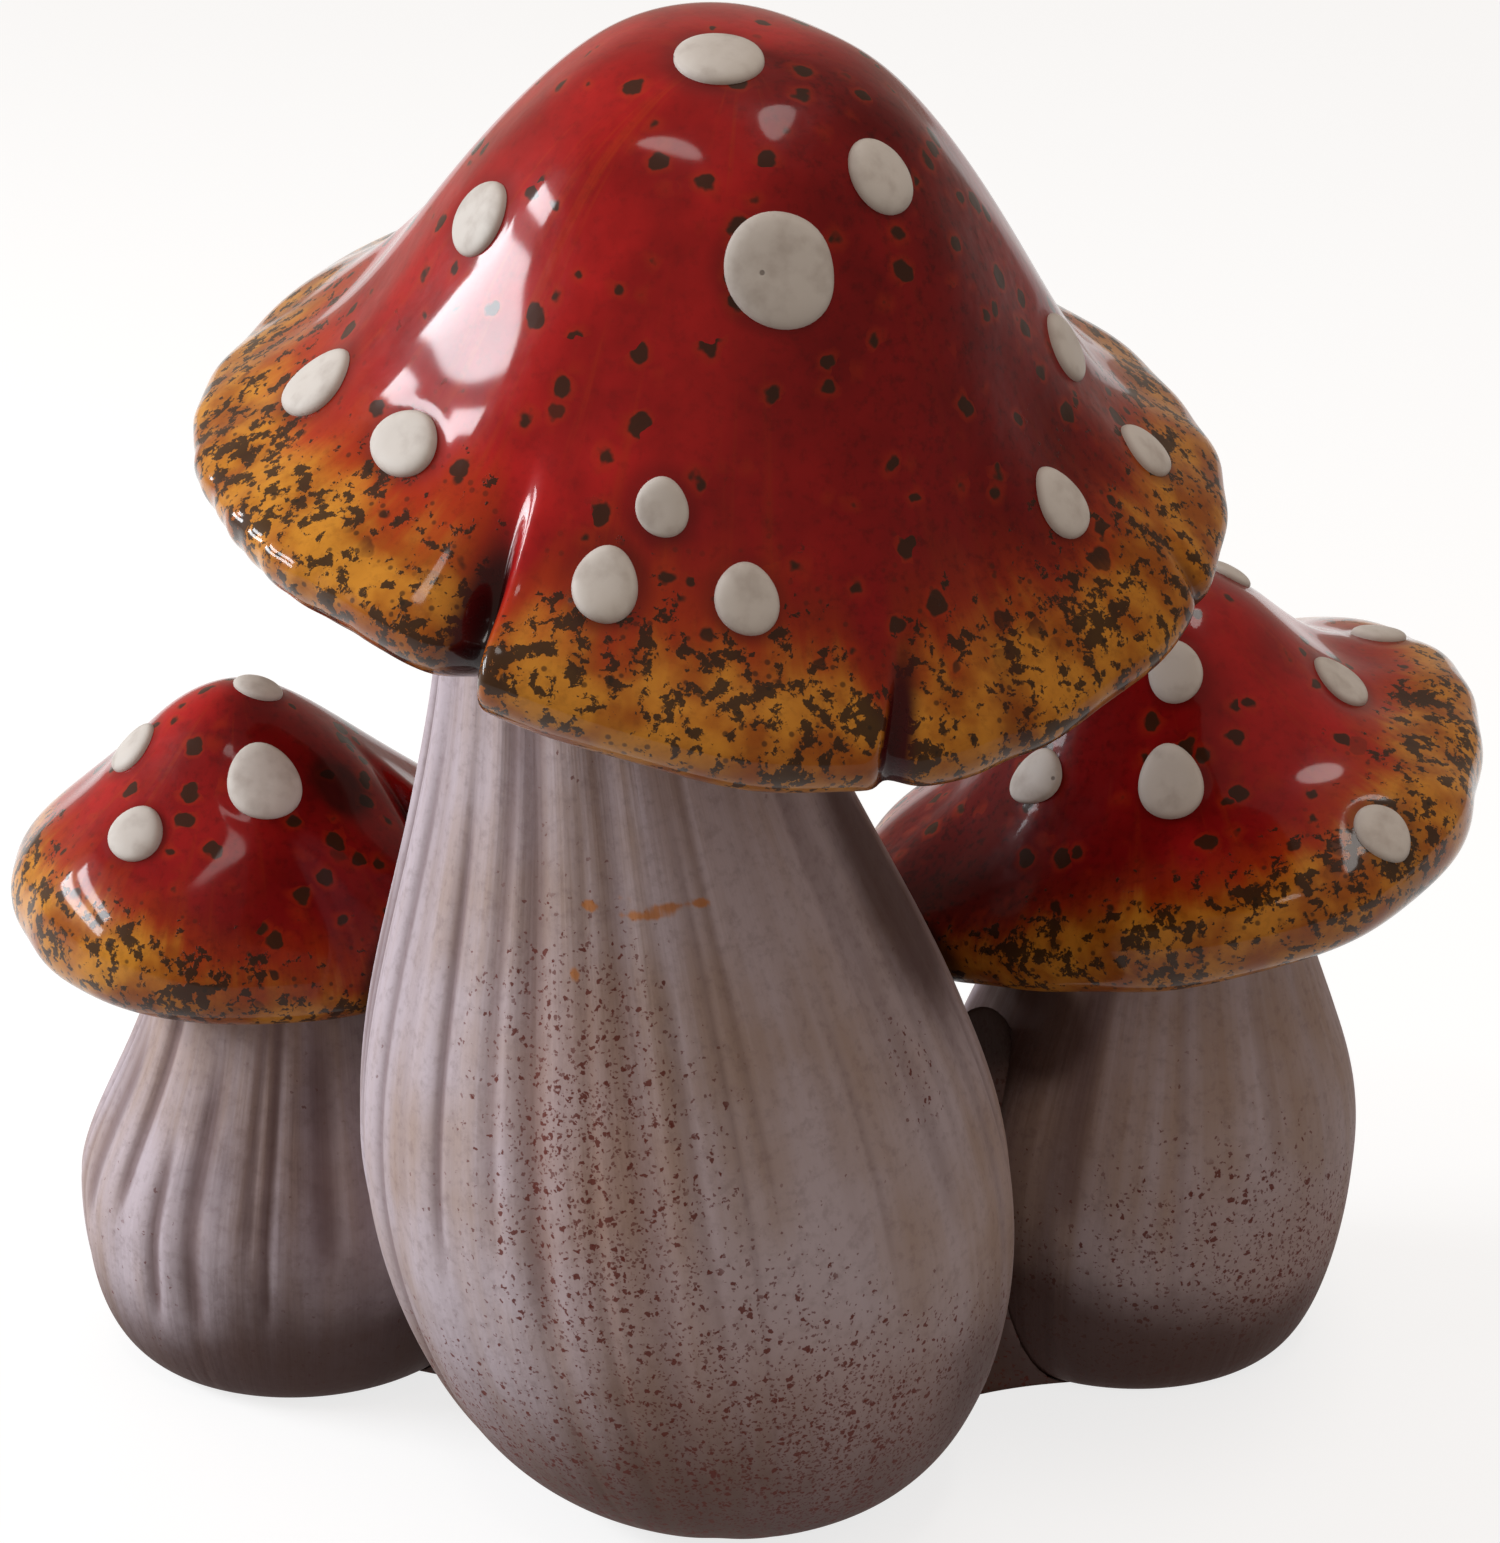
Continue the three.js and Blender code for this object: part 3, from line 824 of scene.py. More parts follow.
    def carve(self, around: Array, height: Array, radius: Array) -> tuple[Array, Array]:
        """Depth of the flutes and of the engraved lines on the outer wall.

        A flute is the fourth power of a cosine round the stem. A line is a bell curve across a
        bearing that drifts and wanders with height, and it starts and ends at its own heights.
        Both are deepest at the back left and fade towards the front right.

        Args:
            around: bearings of the points.
            height: heights of the points.
            radius: radii of the points.

        Returns:
            The depth of flutes and lines together, and the depth of the lines alone.
        """
        fade = smoothstep(height, 0, self.belly_height)
        fade = fade * (1 - smoothstep(height, self.height - self.throat / 2, self.height))
        faded = np.cos((around - self.FADE_BEARING) / 2) ** 2
        flute = np.cos(self.flutes * around / 2) ** 4 * fade
        flute = self.flute_depth * (1 - self.FLUTE_FADE * faded) * flute
        draw = np.random.default_rng(self.seed)
        places = np.arange(self.lines) + draw.uniform(*self.LINE_JITTER, self.lines)
        bearing = 2 * math.pi * places / self.lines
        drift, wander, phase = (draw.uniform(-1, 1, self.lines) for _ in range(3))
        depth = self.line_depth * draw.uniform(*self.LINE_DEPTHS, self.lines)
        depth *= 1 - self.line_fade * np.cos((bearing - self.FADE_BEARING) / 2) ** 2
        width = draw.uniform(*self.LINE_WIDTHS, self.lines)
        start, end = (draw.uniform(*span, self.lines) for span in (self.LINE_STARTS, self.LINE_ENDS))
        share = (height / self.height)[..., None]
        sway = self.LINE_WANDER * wander * np.sin(self.LINE_BENDS * share + self.LINE_PHASE * phase)
        course = bearing + self.LINE_DRIFT * drift * share + sway
        across = turn_between(course, around[..., None]) * radius[..., None]
        run = smoothstep(share - start, 0, self.LINE_RISE)
        run = run * (1 - smoothstep(share - end, -self.LINE_FALL, 0))
        line = (depth * bell(across, width) * run).sum(-1)
        return flute + line, line

    def spattered(self, around: Array, height: Array) -> Array:
        """How thickly the paint is spattered: a band at the foot and a bell curve for each patch."""
        band = self.foot_spatter * (1 - smoothstep(height, 0, self.FOOT_SPATTER_REACH))
        return band + sum(patch.cover(around, height) for patch in self.spatters)

    def smeared_and_shaded(self, around: Array, height: Array) -> Array:
        """How thickly dark paint and painted shade lie, a bell curve for each patch."""
        return np.zeros_like(around) + sum(patch.cover(around, height) for patch in self.smears_and_shades)

    def scratched(self, around: Array, height: Array, radius: Array) -> Array:
        """Where a stroke scratched the paint: full inside its length and thickness.

        Args:
            around: bearings of the points.
            height: heights of the points.
            radius: radii of the points.

        Returns:
            How bare each point is, up to 1.
        """
        total = np.zeros_like(around)
        for stroke in self.strokes:
            along = turn_between(math.radians(stroke.bearing), around) * radius
            up = height - stroke.height - along * math.tan(math.radians(stroke.slant))
            mark = bell(along, stroke.length / 2) ** 2 * bell(up, stroke.thickness / 2)
            total = np.maximum(total, mark)
        return total

    def build(self, leans_on: "StemCasting | None") -> Surface:
        """Works out the casting, pressed against the stem that it leans on.

        Args:
            leans_on: the stem that it is trimmed to, if any.

        Returns:
            The closed surface: down the outside, in under the foot ring, up the pour hole and the
            inner wall, and over the neck's edge.
        """
        outer_r, outer_z = (values[::-1] for values in self.wall_curve(0.0, self.rows // 2))
        inner_r, inner_z = self.wall_curve(self.wall, self.rows // 10)
        ring = np.linspace(self.foot, self.hole, self.RING_ROWS + 1)[1:]
        mouth_z = np.array([self.HOLE_FOOT, self.wall / 2, self.wall])
        mouth_r = np.full(len(mouth_z), self.hole)
        floor_r = np.linspace(self.hole, self.foot, self.FLOOR_ROWS + 2)[1:-1]
        radius = np.concatenate([outer_r, ring, mouth_r, floor_r, inner_r])
        height = np.concatenate([outer_z, 0 * ring, mouth_z, 0 * floor_r + self.wall, inner_z])
        outside = np.arange(len(radius)) < len(outer_r)
        around = full_turn(self.columns)
        around, height = np.broadcast_arrays(around[None, :], height[:, None])
        radius = np.broadcast_to(radius[:, None], around.shape)
        carved, line = self.carve(around, height, radius)
        radius = radius - np.where(outside[:, None], carved, 0)
        level = self.axis(height) + radius[..., None] * ring_of(around)
        points = raised(level, height)
        joint = np.zeros_like(radius)
        # Near the stem that it leans on, the joint mark darkens the seam: dark paint and painted shade.
        if leans_on is not None:
            gap = SEAT_GAP + np.where(outside, 0, self.wall)[:, None]
            points = leans_on.push_clear(points, gap)
            joint = 1 - smoothstep(leans_on.distance(points), *self.SEAM_SPAN)
        share = height / self.height
        lined = line / self.line_depth + self.FLUTE_MAUVE * (carved - line) / self.flute_depth
        return Surface(points, Closing.LOOP, {
            "height": share,
            "groove": np.clip(lined, 0, 1),
            "spatter": self.spattered(around, height),
            "smear_and_shade": self.smeared_and_shaded(around, height),
            "scratch": self.scratched(around, height, radius),
            "joint": joint,
            "compass": raised(ring_of(around), share),
        })


@dataclass(frozen=True)
class Cleft:
    """A groove that runs from part of the way out to the rim of a cap.

    Attributes:
        bearing, drift: where it meets the rim, and how far off that it starts.
        start: share of the way out where it starts.
        depth, width: depth, and width on its gentle side.
        edge: width on the side of the lobe that laps over.
        lap, fall: how far that lobe stands up, and how fast that falls off.
        over: 1 if the lobe is anticlockwise of the groove, -1 if clockwise.
    """

    bearing: float
    drift: float
    start: float
    depth: float
    width: float
    edge: float
    lap: float
    fall: float
    over: int

    def carve(self, around: Array, reach: Array, out: Array) -> tuple[Array, Array]:
        """Depth of the groove less the height of the lobe beside it.

        The groove is a bell curve across its course, narrower on the lobe's side. The lobe rises
        from the groove and dies away with distance.

        Args:
            around: bearings of the points.
            reach: shares of the way out to the rim.
            out: distances out from the middle of the cap.

        Returns:
            The depth, and the groove's share of its full depth.
        """
        strength = smoothstep(reach, self.start, 1)
        course = np.radians(self.bearing + self.drift * (1 - reach) / (1 - self.start))
        across = turn_between(course, around) * out * self.over
        groove = bell(across, np.where(across > 0, self.edge, self.width))
        lobe = np.where(across > 0, self.lap * np.exp(-across / self.fall), 0) * (1 - groove)
        return strength * (self.depth * groove - lobe), strength * groove


@dataclass(frozen=True)
class Drop:
    """A drop of slip.

    Attributes:
        bearing, out, width: where it sits, how far out in plan, and its width.
        long, point, turn: how long it is, how far its soft point stands out, and where that points.
    """

    bearing: float
    out: float
    width: float
    long: float = 1.02
    point: float = 0.07
    turn: float = 180.0

    POINT_SPAN = 0.55

    def outline(self, angle: Array) -> Array:
        """Its edge: an ellipse with a soft point on one side.

        Args:
            angle: angles round its middle.

        Returns:
            Distances from its middle to its edge.
        """
        aside = turn_between(math.radians(self.turn), angle)
        oval = 1 / np.hypot(np.cos(aside) / self.long, np.sin(aside) * self.long)
        return self.width / 2 * (oval + self.point * bell(aside, self.POINT_SPAN))


@dataclass
class CapCasting:
    """A toadstool cap with a rolled lip, shaped by hand, and the drops of slip on it.

    Attributes:
        rim, brim, hump, hump_radius, hump_power: radius, and the two curves that make the crown.
        shift: how far the top of the crown stands off the middle.
        tuck, drop, under: how far the lip rolls in and down, and how far the underside arches up.
        wall, spigot: thickness of the casting, and how far the neck stands up inside it.
        forward, side, socket: tilts in degrees, and where the stem enters the underside.
        waves, rolls: waves of the rim outwards and upwards as count, size and bearing of a peak.
        clefts: grooves in the rim. wrinkles: bearing, spread and size of fine radial wrinkles.
        flows: bearing, spread and amount of red glaze that runs further down to the rim.
        painted_shades: bearing, spread and amount of painted shade, darker glaze on shaded sides.
        stains: bearing, distance out, size and amount of dark stains.
        drops: drops of slip. rows, columns: grid of the crown.
    """

    rim: float
    brim: float
    hump: float
    hump_radius: float
    hump_power: float
    shift: tuple[float, float]
    tuck: float
    drop: float
    under: float
    wall: float
    spigot: float
    forward: float
    side: float
    socket: tuple[float, float]
    waves: tuple[tuple[int, float, float], ...]
    rolls: tuple[tuple[int, float, float], ...]
    clefts: tuple[Cleft, ...]
    drops: tuple[Drop, ...]
    wrinkles: tuple[tuple[float, float, float], ...] = ()
    flows: tuple[tuple[float, float, float], ...] = ()
    painted_shades: tuple[tuple[float, float, float], ...] = ()
    stains: tuple[tuple[float, float, float, float], ...] = ()
    rows: int = 110
    columns: int = 300

    # How strongly columns are drawn together at a cleft, and how near to it.
    GATHER_SHARE = 0.6
    GATHER_SPAN = math.radians(16)
    # How finely slopes are read, and the furthest share of the way out where they are.
    SLOPE_PARTS = 1000
    STEEPEST = 0.98
    # How far the mark of reach goes on round the lip, the rows and closing of the underside, and what
    # the sum of the two tilts is divided by for the whole tilt.
    LIP_REACH = 0.3
    UNDER_ROWS = 10
    SOCKET_ROWS = 4
    SOCKET_ROOF = (0.6, 0.25)
    TILT_EASE = 1.4
    # Distances from the next stem over which the dark seam and its painted shade fade out, and
    # depth of a cleft whose painted shade is full.
    SEAM_SPAN = (0.4, 4.5)
    DARK_DEPTH = 2.5
    # Wrinkles and lumps left by the hand.
    WRINKLE_COUNT = 74
    WRINKLE_SWAY, WRINKLE_BENDS, WRINKLE_START = 1.5, 5, 0.9
    LUMP_SEED = 3
    LUMP_COUNT = 9
    LUMP_LENGTHS = (11.0, 34.0)
    LUMP_HEIGHT = 0.13
    LUMP_SPAN = (0.05, 0.4)
    # The ring of glaze round each drop, and how far out its colour is deeper.
    MOAT_DEPTH = 0.05
    MOAT_OUT = 0.9
    MOAT_WIDTH = 0.7
    MOAT_TINT = 1.6
    # The drops: greatest rise, rise for their width, powers of the dome, marked edge, sink and grid.
    DROP_RISE = 1.15
    DROP_SLENDER = 0.15
    DROP_DOME = (0.6, 0.85)
    DROP_EDGE = (0.86, 1.0)
    DROP_SINK = 0.5
    DROP_COLUMNS = 48
    DROP_ROWS = 12

    def crown(self, out: Array) -> Array:
        """Shape of the plain crown: a quarter ellipse for the brim and a bell for the hump.

        Args:
            out: distances out from the middle.

        Returns:
            The heights over the rim plane.
        """
        brim = np.sqrt(np.clip(1 - (out / self.rim) ** 2, 0, 1))
        foot = math.exp(-((self.rim / self.hump_radius) ** self.hump_power))
        hump = np.exp(-((out / self.hump_radius) ** self.hump_power)) - foot
        return self.brim * brim + self.hump * hump

    def slope(self, out: Array) -> Array:
        """Slope of the plain crown, from two near heights.

        Args:
            out: distances out from the middle.

        Returns:
            The rise per millimetre outwards.
        """
        near = self.rim / self.SLOPE_PARTS
        inner, outer = np.maximum(out - near, 0), np.minimum(out + near, self.rim)
        return (self.crown(outer) - self.crown(inner)) / (outer - inner)

    def lumps(self, x: Array, y: Array) -> Array:
        """Height of the uneven lumps left by the hand: a sum of waves that cross in plan.

        Args:
            x: distances out along X.
            y: distances out along Y.

        Returns:
            The height of the lumps at each point.
        """
        draw = np.random.default_rng(self.LUMP_SEED)
        heading, phase = (draw.uniform(0, 2 * math.pi, self.LUMP_COUNT) for _ in range(2))
        turns = 2 * math.pi / draw.uniform(*self.LUMP_LENGTHS, self.LUMP_COUNT)
        way = x[..., None] * np.cos(heading) + y[..., None] * np.sin(heading)
        return self.LUMP_HEIGHT * np.sin(turns * way + phase).sum(-1)

    def handwork(self, points: Array) -> tuple[Array, Array]:
        """Bends the plain turned cap into its hand-shaped form.

        The rim waves in plan and rolls up and down, clefts and wrinkles are pressed in, lumps one to
        three centimetres long swell the crown, and the top shifts aside with height.

        Args:
            points: points of the plain cap.

        Returns:
            The points after handling, and each point's share of the deepest groove.
        """
        x, y, z = np.moveaxis(points, -1, 0)
        around, out = np.arctan2(y, x), np.hypot(x, y)
        reach = np.minimum(out / self.rim, 1)
        lift = np.clip(z / (self.brim + self.hump), 0, 1)
        depth, groove = np.zeros_like(out), np.zeros_like(out)
        for cleft in self.clefts:
            cut, share = cleft.carve(around, reach, out)
            depth += cut
            # The groove mark carries painted shade in a cleft, fuller the deeper the cleft is.
            groove = np.maximum(groove, share * min(cleft.depth / self.DARK_DEPTH, 1))
        for bearing, spread, size in self.wrinkles:
            sway = self.WRINKLE_SWAY * np.sin(self.WRINKLE_BENDS * around)
            fold = np.cos(self.WRINKLE_COUNT * around + sway)
            lies = bell(degrees_off(bearing, around), spread) * smoothstep(reach, self.WRINKLE_START, 1)
            depth += size * lies * fold
        depth -= self.lumps(x, y) * smoothstep(reach, *self.LUMP_SPAN)
        outward = reach**2
        upward = np.sqrt(1 - outward**2) * smoothstep(z, -self.drop, self.brim / 4)
        radius = out + outward * (ripple(self.waves, around) - depth)
        height = z + reach**3 * ripple(self.rolls, around) - depth * upward
        plan = radius[..., None] * ring_of(around) + lift[..., None] * np.array(self.shift)
        return raised(plan, height), groove

    def turn(self) -> Array:
        """Tilt of the cap: forwards about X, then sideways about Y.

        Returns:
            The turn as a 3 by 3 matrix.
        """
        cos_f, sin_f = ring_of(math.radians(self.forward))
        cos_s, sin_s = ring_of(math.radians(self.side))
        about_x = np.array([[1, 0, 0], [0, cos_f, -sin_f], [0, sin_f, cos_f]])
        about_y = np.array([[cos_s, 0, sin_s], [0, 1, 0], [-sin_s, 0, cos_s]])
        return about_y @ about_x

    def floor(self) -> float:
        """Height of the floor inside the cap over its rim plane."""
        return self.under - self.drop + self.wall

    def put(self, points: Array, stem: StemCasting) -> Array:
        """Sets points of the cap on the neck of its stem.

        Args:
            points: points measured from the middle of the cap's rim plane.
            stem: the stem that carries it.

        Returns:
            The points in the part's frame.
        """
        socket = np.array([*self.socket, self.floor() + self.spigot])
        top = np.array([*stem.axis(np.array(stem.height)), stem.height])
        return (points - socket) @ self.turn().T + top

    def columns_around(self) -> Array:
        """Draws the grid's columns together at the clefts.

        Returns:
            The bearings of the columns.
        """
        around = full_turn(self.columns)
        pull = np.zeros_like(around)
        for cleft in self.clefts:
            aside = turn_between(math.radians(cleft.bearing), around)
            pull -= self.GATHER_SHARE * aside * bell(aside, self.GATHER_SPAN)
        return around + pull

    def coated(self, patches: tuple[tuple[float, float, float], ...], around: Array) -> Array:
        """How much flowing red, and how much painted shade, lies at each bearing: a bell curve for each
        patch.

        Args:
            patches: bearing, spread and amount of each patch.
            around: bearings of the columns.

        Returns:
            The summed amounts.
        """
        total = np.zeros_like(around)
        for bearing, spread, amount in patches:
            total += amount * bell(degrees_off(bearing, around), spread)
        return total

    def stained(self, plan: Array) -> Array:
        """How dark the stains are: a round bell curve for each stain.

        Args:
            plan: points in plan.

        Returns:
            The summed darkness at each point.
        """
        total = np.zeros(plan.shape[:-1])
        for bearing, out, size, amount in self.stains:
            aside = plan - out * plan_axes(bearing)[0]
            total += amount * bell(length(aside), size)
        return total

    def moat(self, plan: Array) -> Array:
        """How far outside the edge of the nearest drop each point lies, measured on the crown.

        Args:
            plan: points in plan.

        Returns:
            The distances, which are negative under a drop.
        """
        nearest = np.full(plan.shape[:-1], self.rim)
        for drop in self.drops:
            outward, sideways = plan_axes(drop.bearing)
            aside = plan - drop.out * outward
            steep = float(np.hypot(self.slope(np.array(drop.out)), 1))
            along, across = (aside @ outward) * steep, aside @ sideways
            beyond = np.hypot(along, across) - drop.outline(np.arctan2(across, along))
            nearest = np.minimum(nearest, beyond)
        return nearest

    def outside(self, way: Array) -> tuple[Array, Array]:
        """Profile down the crown and round the lip's quarter ellipse.

        Args:
            way: shares of the way down the crown, from the top to the rim.

        Returns:
            Radii and heights of the profile.
        """
        crown_r = self.rim * np.sin(QUARTER * way)
        swing = np.linspace(0, QUARTER, self.rows // 6 + 1)[1:]
        lip_r, lip_z = self.rim - self.tuck * (1 - np.cos(swing)), -self.drop * np.sin(swing)
        return np.concatenate([crown_r, lip_r]), np.concatenate([self.crown(crown_r), lip_z])

    def underside(self, ring: Array, stem: StemCasting) -> Array:
        """Rows from the lip to the socket, up its wall and over its top.

        The underside is a parabola that arches up to the middle of the cap. Each column runs
        straight in plan from the lip to the round socket.

        Args:
            ring: unit directions of the columns.
            stem: the stem that enters the socket.

        Returns:
            The rows of points.
        """
        lip = self.rim - self.tuck
        below = self.spigot + self.wall
        axis = self.turn().T @ np.array([*(np.array(stem.lean) / stem.height), 1])
        middle = np.array(self.socket) - axis[:2] / axis[2] * below
        edge = float(stem.radius(np.array(stem.height - below))) + 2 * SEAT_GAP
        share = steps(self.UNDER_ROWS)[:, None, None]
        plan = (1 - share) * lip * ring + share * (middle + edge * ring)
        arch = self.under - self.drop - self.under * np.clip((plan**2).sum(-1) / lip**2, 0, 1)
        tilt = math.radians(abs(self.forward) + abs(self.side)) / self.TILT_EASE
        rise = self.floor() + self.spigot + edge * math.tan(tilt)
        wall = steps(self.SOCKET_ROWS)[:, None]
        wall_z = arch[-1] + wall * (rise - arch[-1])
        wall_plan = np.repeat(plan[-1:], len(wall), 0)
        close = np.array(self.SOCKET_ROOF)[:, None, None]
        roof_plan = middle + close * edge * ring
        roof_z = np.full(roof_plan.shape[:-1], rise)
        plan = np.concatenate([plan, wall_plan, roof_plan])
        return raised(plan, np.concatenate([arch, wall_z, roof_z]))

    def build(self, stem: StemCasting, leans_on: StemCasting | None) -> Surface:
        """Works out the cap on its stem, pressed against the stem that it leans on.

        Args:
            stem: the stem that carries it.
            leans_on: another stem that it is trimmed to, if any.

        Returns:
            The closed surface from the crown round the lip and in to the blind socket.
        """
        way = steps(self.rows)
        around = self.columns_around()
        ring = ring_of(around)
        radius, height = self.outside(way)
        plan = radius[:, None, None] * ring
        beyond = self.moat(plan)
        trough = bell(beyond - self.MOAT_OUT, self.MOAT_WIDTH) * (height[:, None] > 0)
        steep = self.slope(np.minimum(radius, self.rim * self.STEEPEST))
        dent = self.MOAT_DEPTH * trough / np.hypot(steep, 1)[:, None]
        plan = plan + (dent * steep[:, None])[..., None] * ring
        high = np.broadcast_to(height[:, None], dent.shape) - dent
        outside = raised(plan, high)
        points, groove = self.handwork(np.concatenate([outside, self.underside(ring, stem)]))
        points = self.put(points, stem)
        joint = np.zeros(points.shape[:-1])
        if leans_on is not None:
            points = leans_on.push_clear(points, SEAT_GAP)
            # The joint mark darkens the cap by the next stem: dark paint and painted shade.
            joint = 1 - smoothstep(leans_on.distance(points), *self.SEAM_SPAN)
        under_rows = len(points) - len(radius)
        lip_rows = len(radius) - len(way)
        reach = np.concatenate([
            radius[:len(way)] / self.rim,
            1 + self.LIP_REACH * steps(lip_rows),
            np.full(under_rows, 1 + self.LIP_REACH),
        ])
        reach = np.broadcast_to(reach[:, None], joint.shape)
        moat, stain = np.zeros(joint.shape), np.zeros(joint.shape)
        moat[:len(radius)] = bell(np.maximum(beyond, 0), self.MOAT_TINT)
        stain[:len(radius)] = self.stained(plan)
        return Surface(points, Closing.POLES, {
            "reach": reach,
            "flow": np.broadcast_to(self.coated(self.flows, around), joint.shape),
            # Painted shade by bearing, darker glaze on the cap's shaded side.
            "painted_shade": np.broadcast_to(self.coated(self.painted_shades, around), joint.shape),
            "stain": stain,
            "groove": groove,
            "moat": moat,
            "joint": joint,
            "compass": raised(np.broadcast_to(ring, (*joint.shape, 2)), reach),
        })

    def build_drop(self, drop: Drop, stem: StemCasting) -> Surface:
        """Works out one drop of slip on the crown.

        Its edge follows the drop's outline and its dome is a rounded power curve. Every point
        stands off the plain crown along its normal and then follows the handling of the cap.

        Args:
            drop: the drop.
            stem: the stem that carries the cap.

        Returns:
            The closed surface, sunk a little into the glaze.
        """
        angle = full_turn(self.DROP_COLUMNS)
        swing = np.linspace(QUARTER, 0, self.DROP_ROWS + 1)[1:]
        out_power, up_power = self.DROP_DOME
        across = np.concatenate([np.cos(swing) ** out_power, [1.0, 0.5]])
        rise = min(self.DROP_RISE, self.DROP_SLENDER * drop.width)
        up = np.concatenate([rise * np.sin(swing) ** up_power, [-self.DROP_SINK] * 2])
        local = across[:, None] * drop.outline(angle)
        outward, sideways = plan_axes(drop.bearing)
        shrink = 1 / np.hypot(self.slope(np.array(drop.out)), 1)
        along = drop.out + local * np.cos(angle) * shrink
        plan = along[..., None] * outward + (local * np.sin(angle))[..., None] * sideways
        out = np.maximum(length(plan), TINY)
        slope = self.slope(np.minimum(out, self.rim * self.STEEPEST))
        lift = up[:, None] / np.hypot(slope, 1)
        plan = plan * (1 - slope * lift / out)[..., None]
        points, _ = self.handwork(raised(plan, self.crown(out) + lift))
        edge = np.broadcast_to(smoothstep(across, *self.DROP_EDGE)[:, None], local.shape)
        return Surface(self.put(points, stem), Closing.POLES, {"edge": edge})


@dataclass
class Lute:
    """Clay pressed into the joint between two stems: a toe on the ground and a web up between them.

    Attributes:
        name: the side stem that it joins to the main stem.
        half_toe, half_web, half_length: half its width at the toe and in the web, and half its length.
        height: how high the web reaches.
        bearing, out: where its middle is, from the foot of the main stem.
        rows, columns: grid of its surface.
    """

    name: str
    half_toe: float
    half_web: float
    half_length: float
    height: float
    bearing: float
    out: float
    rows: int = 40
    columns: int = 120

    # Least thickness between the walls, waist half way between them, and the paint's marks, whose
    # dark web and seam are dark paint and painted shade.
    THIN, WAIST = 0.02, 0.5
    SPATTER = 0.5
    SMEAR, SMEAR_SPAN = 0.3, (0.55, 0.85)
    SEAM, SEAM_SPAN = 1.1, (0.6, 0.95)

    def build(self, main: StemCasting, beside: StemCasting) -> Surface:
        """Works out the fillet between the stems.

        Its profile is a cubic curve from the toe to the top, drawn out long across the joint. Each
        point is brought between the two walls along the joint's bearing, and the fillet thins half
        way between them.

        Args:
            main: the main stem.
            beside: the side stem.

        Returns:
            The closed surface.
        """
        way = np.concatenate([np.linspace(1, 0, self.rows + 1)[1:], [0.0]])
        back = 1 - way
        inward = np.concatenate([np.ones(self.rows), [0.5]])
        half = self.half_toe * back**3 + 3 * self.half_web * back * way
        around = full_turn(self.columns)
        across = (half * inward)[:, None] * np.sin(around)
        along = (half * inward)[:, None] * np.cos(around) * self.half_length / self.half_toe
        height = np.broadcast_to((self.height * way**2 * (3 - 2 * way))[:, None], along.shape)
        outward, sideways = plan_axes(self.bearing)
        home = main.base + self.out * outward

        def face(stem: StemCasting, sign: int) -> Array:
            """Where a stem's wall lies along the joint, level with each point and abreast of it.

            Args:
                stem: the stem.
                sign: 1 for the wall that faces along the joint, -1 for the one that faces back.

            Returns:
                Distances along the joint from its middle.
            """
            aside = stem.axis(height) - home
            off = across - aside @ sideways
            wall = (stem.radius(height) + SEAT_GAP) ** 2 - off**2
            return aside @ outward + sign * np.sqrt(np.maximum(wall, 0))

        near, far = face(main, 1), face(beside, -1)
        middle, half = (near + far) / 2, np.maximum(far - near, self.THIN) / 2
        along = np.clip(along, middle - half, middle + half)
        across = across * (self.WAIST + (1 - self.WAIST) * ((along - middle) / half) ** 2)
        level = home + along[..., None] * outward + across[..., None] * sideways
        points = raised(level, height)
        plain = np.zeros_like(height)
        share, up = height / main.height, height / self.height
        return Surface(points, Closing.POLES, {
            "height": share,
            "groove": plain,
            "spatter": plain + self.SPATTER,
            # Dark paint with painted shade, rising towards the top of the web.
            "smear_and_shade": self.SMEAR + (1 - self.SMEAR) * smoothstep(up, *self.SMEAR_SPAN),
            "scratch": plain,
            # The seam darkens towards the top of the web: dark paint and painted shade.
            "joint": self.SEAM * smoothstep(up, *self.SEAM_SPAN),
            "compass": raised(level / self.half_length, share),
        })


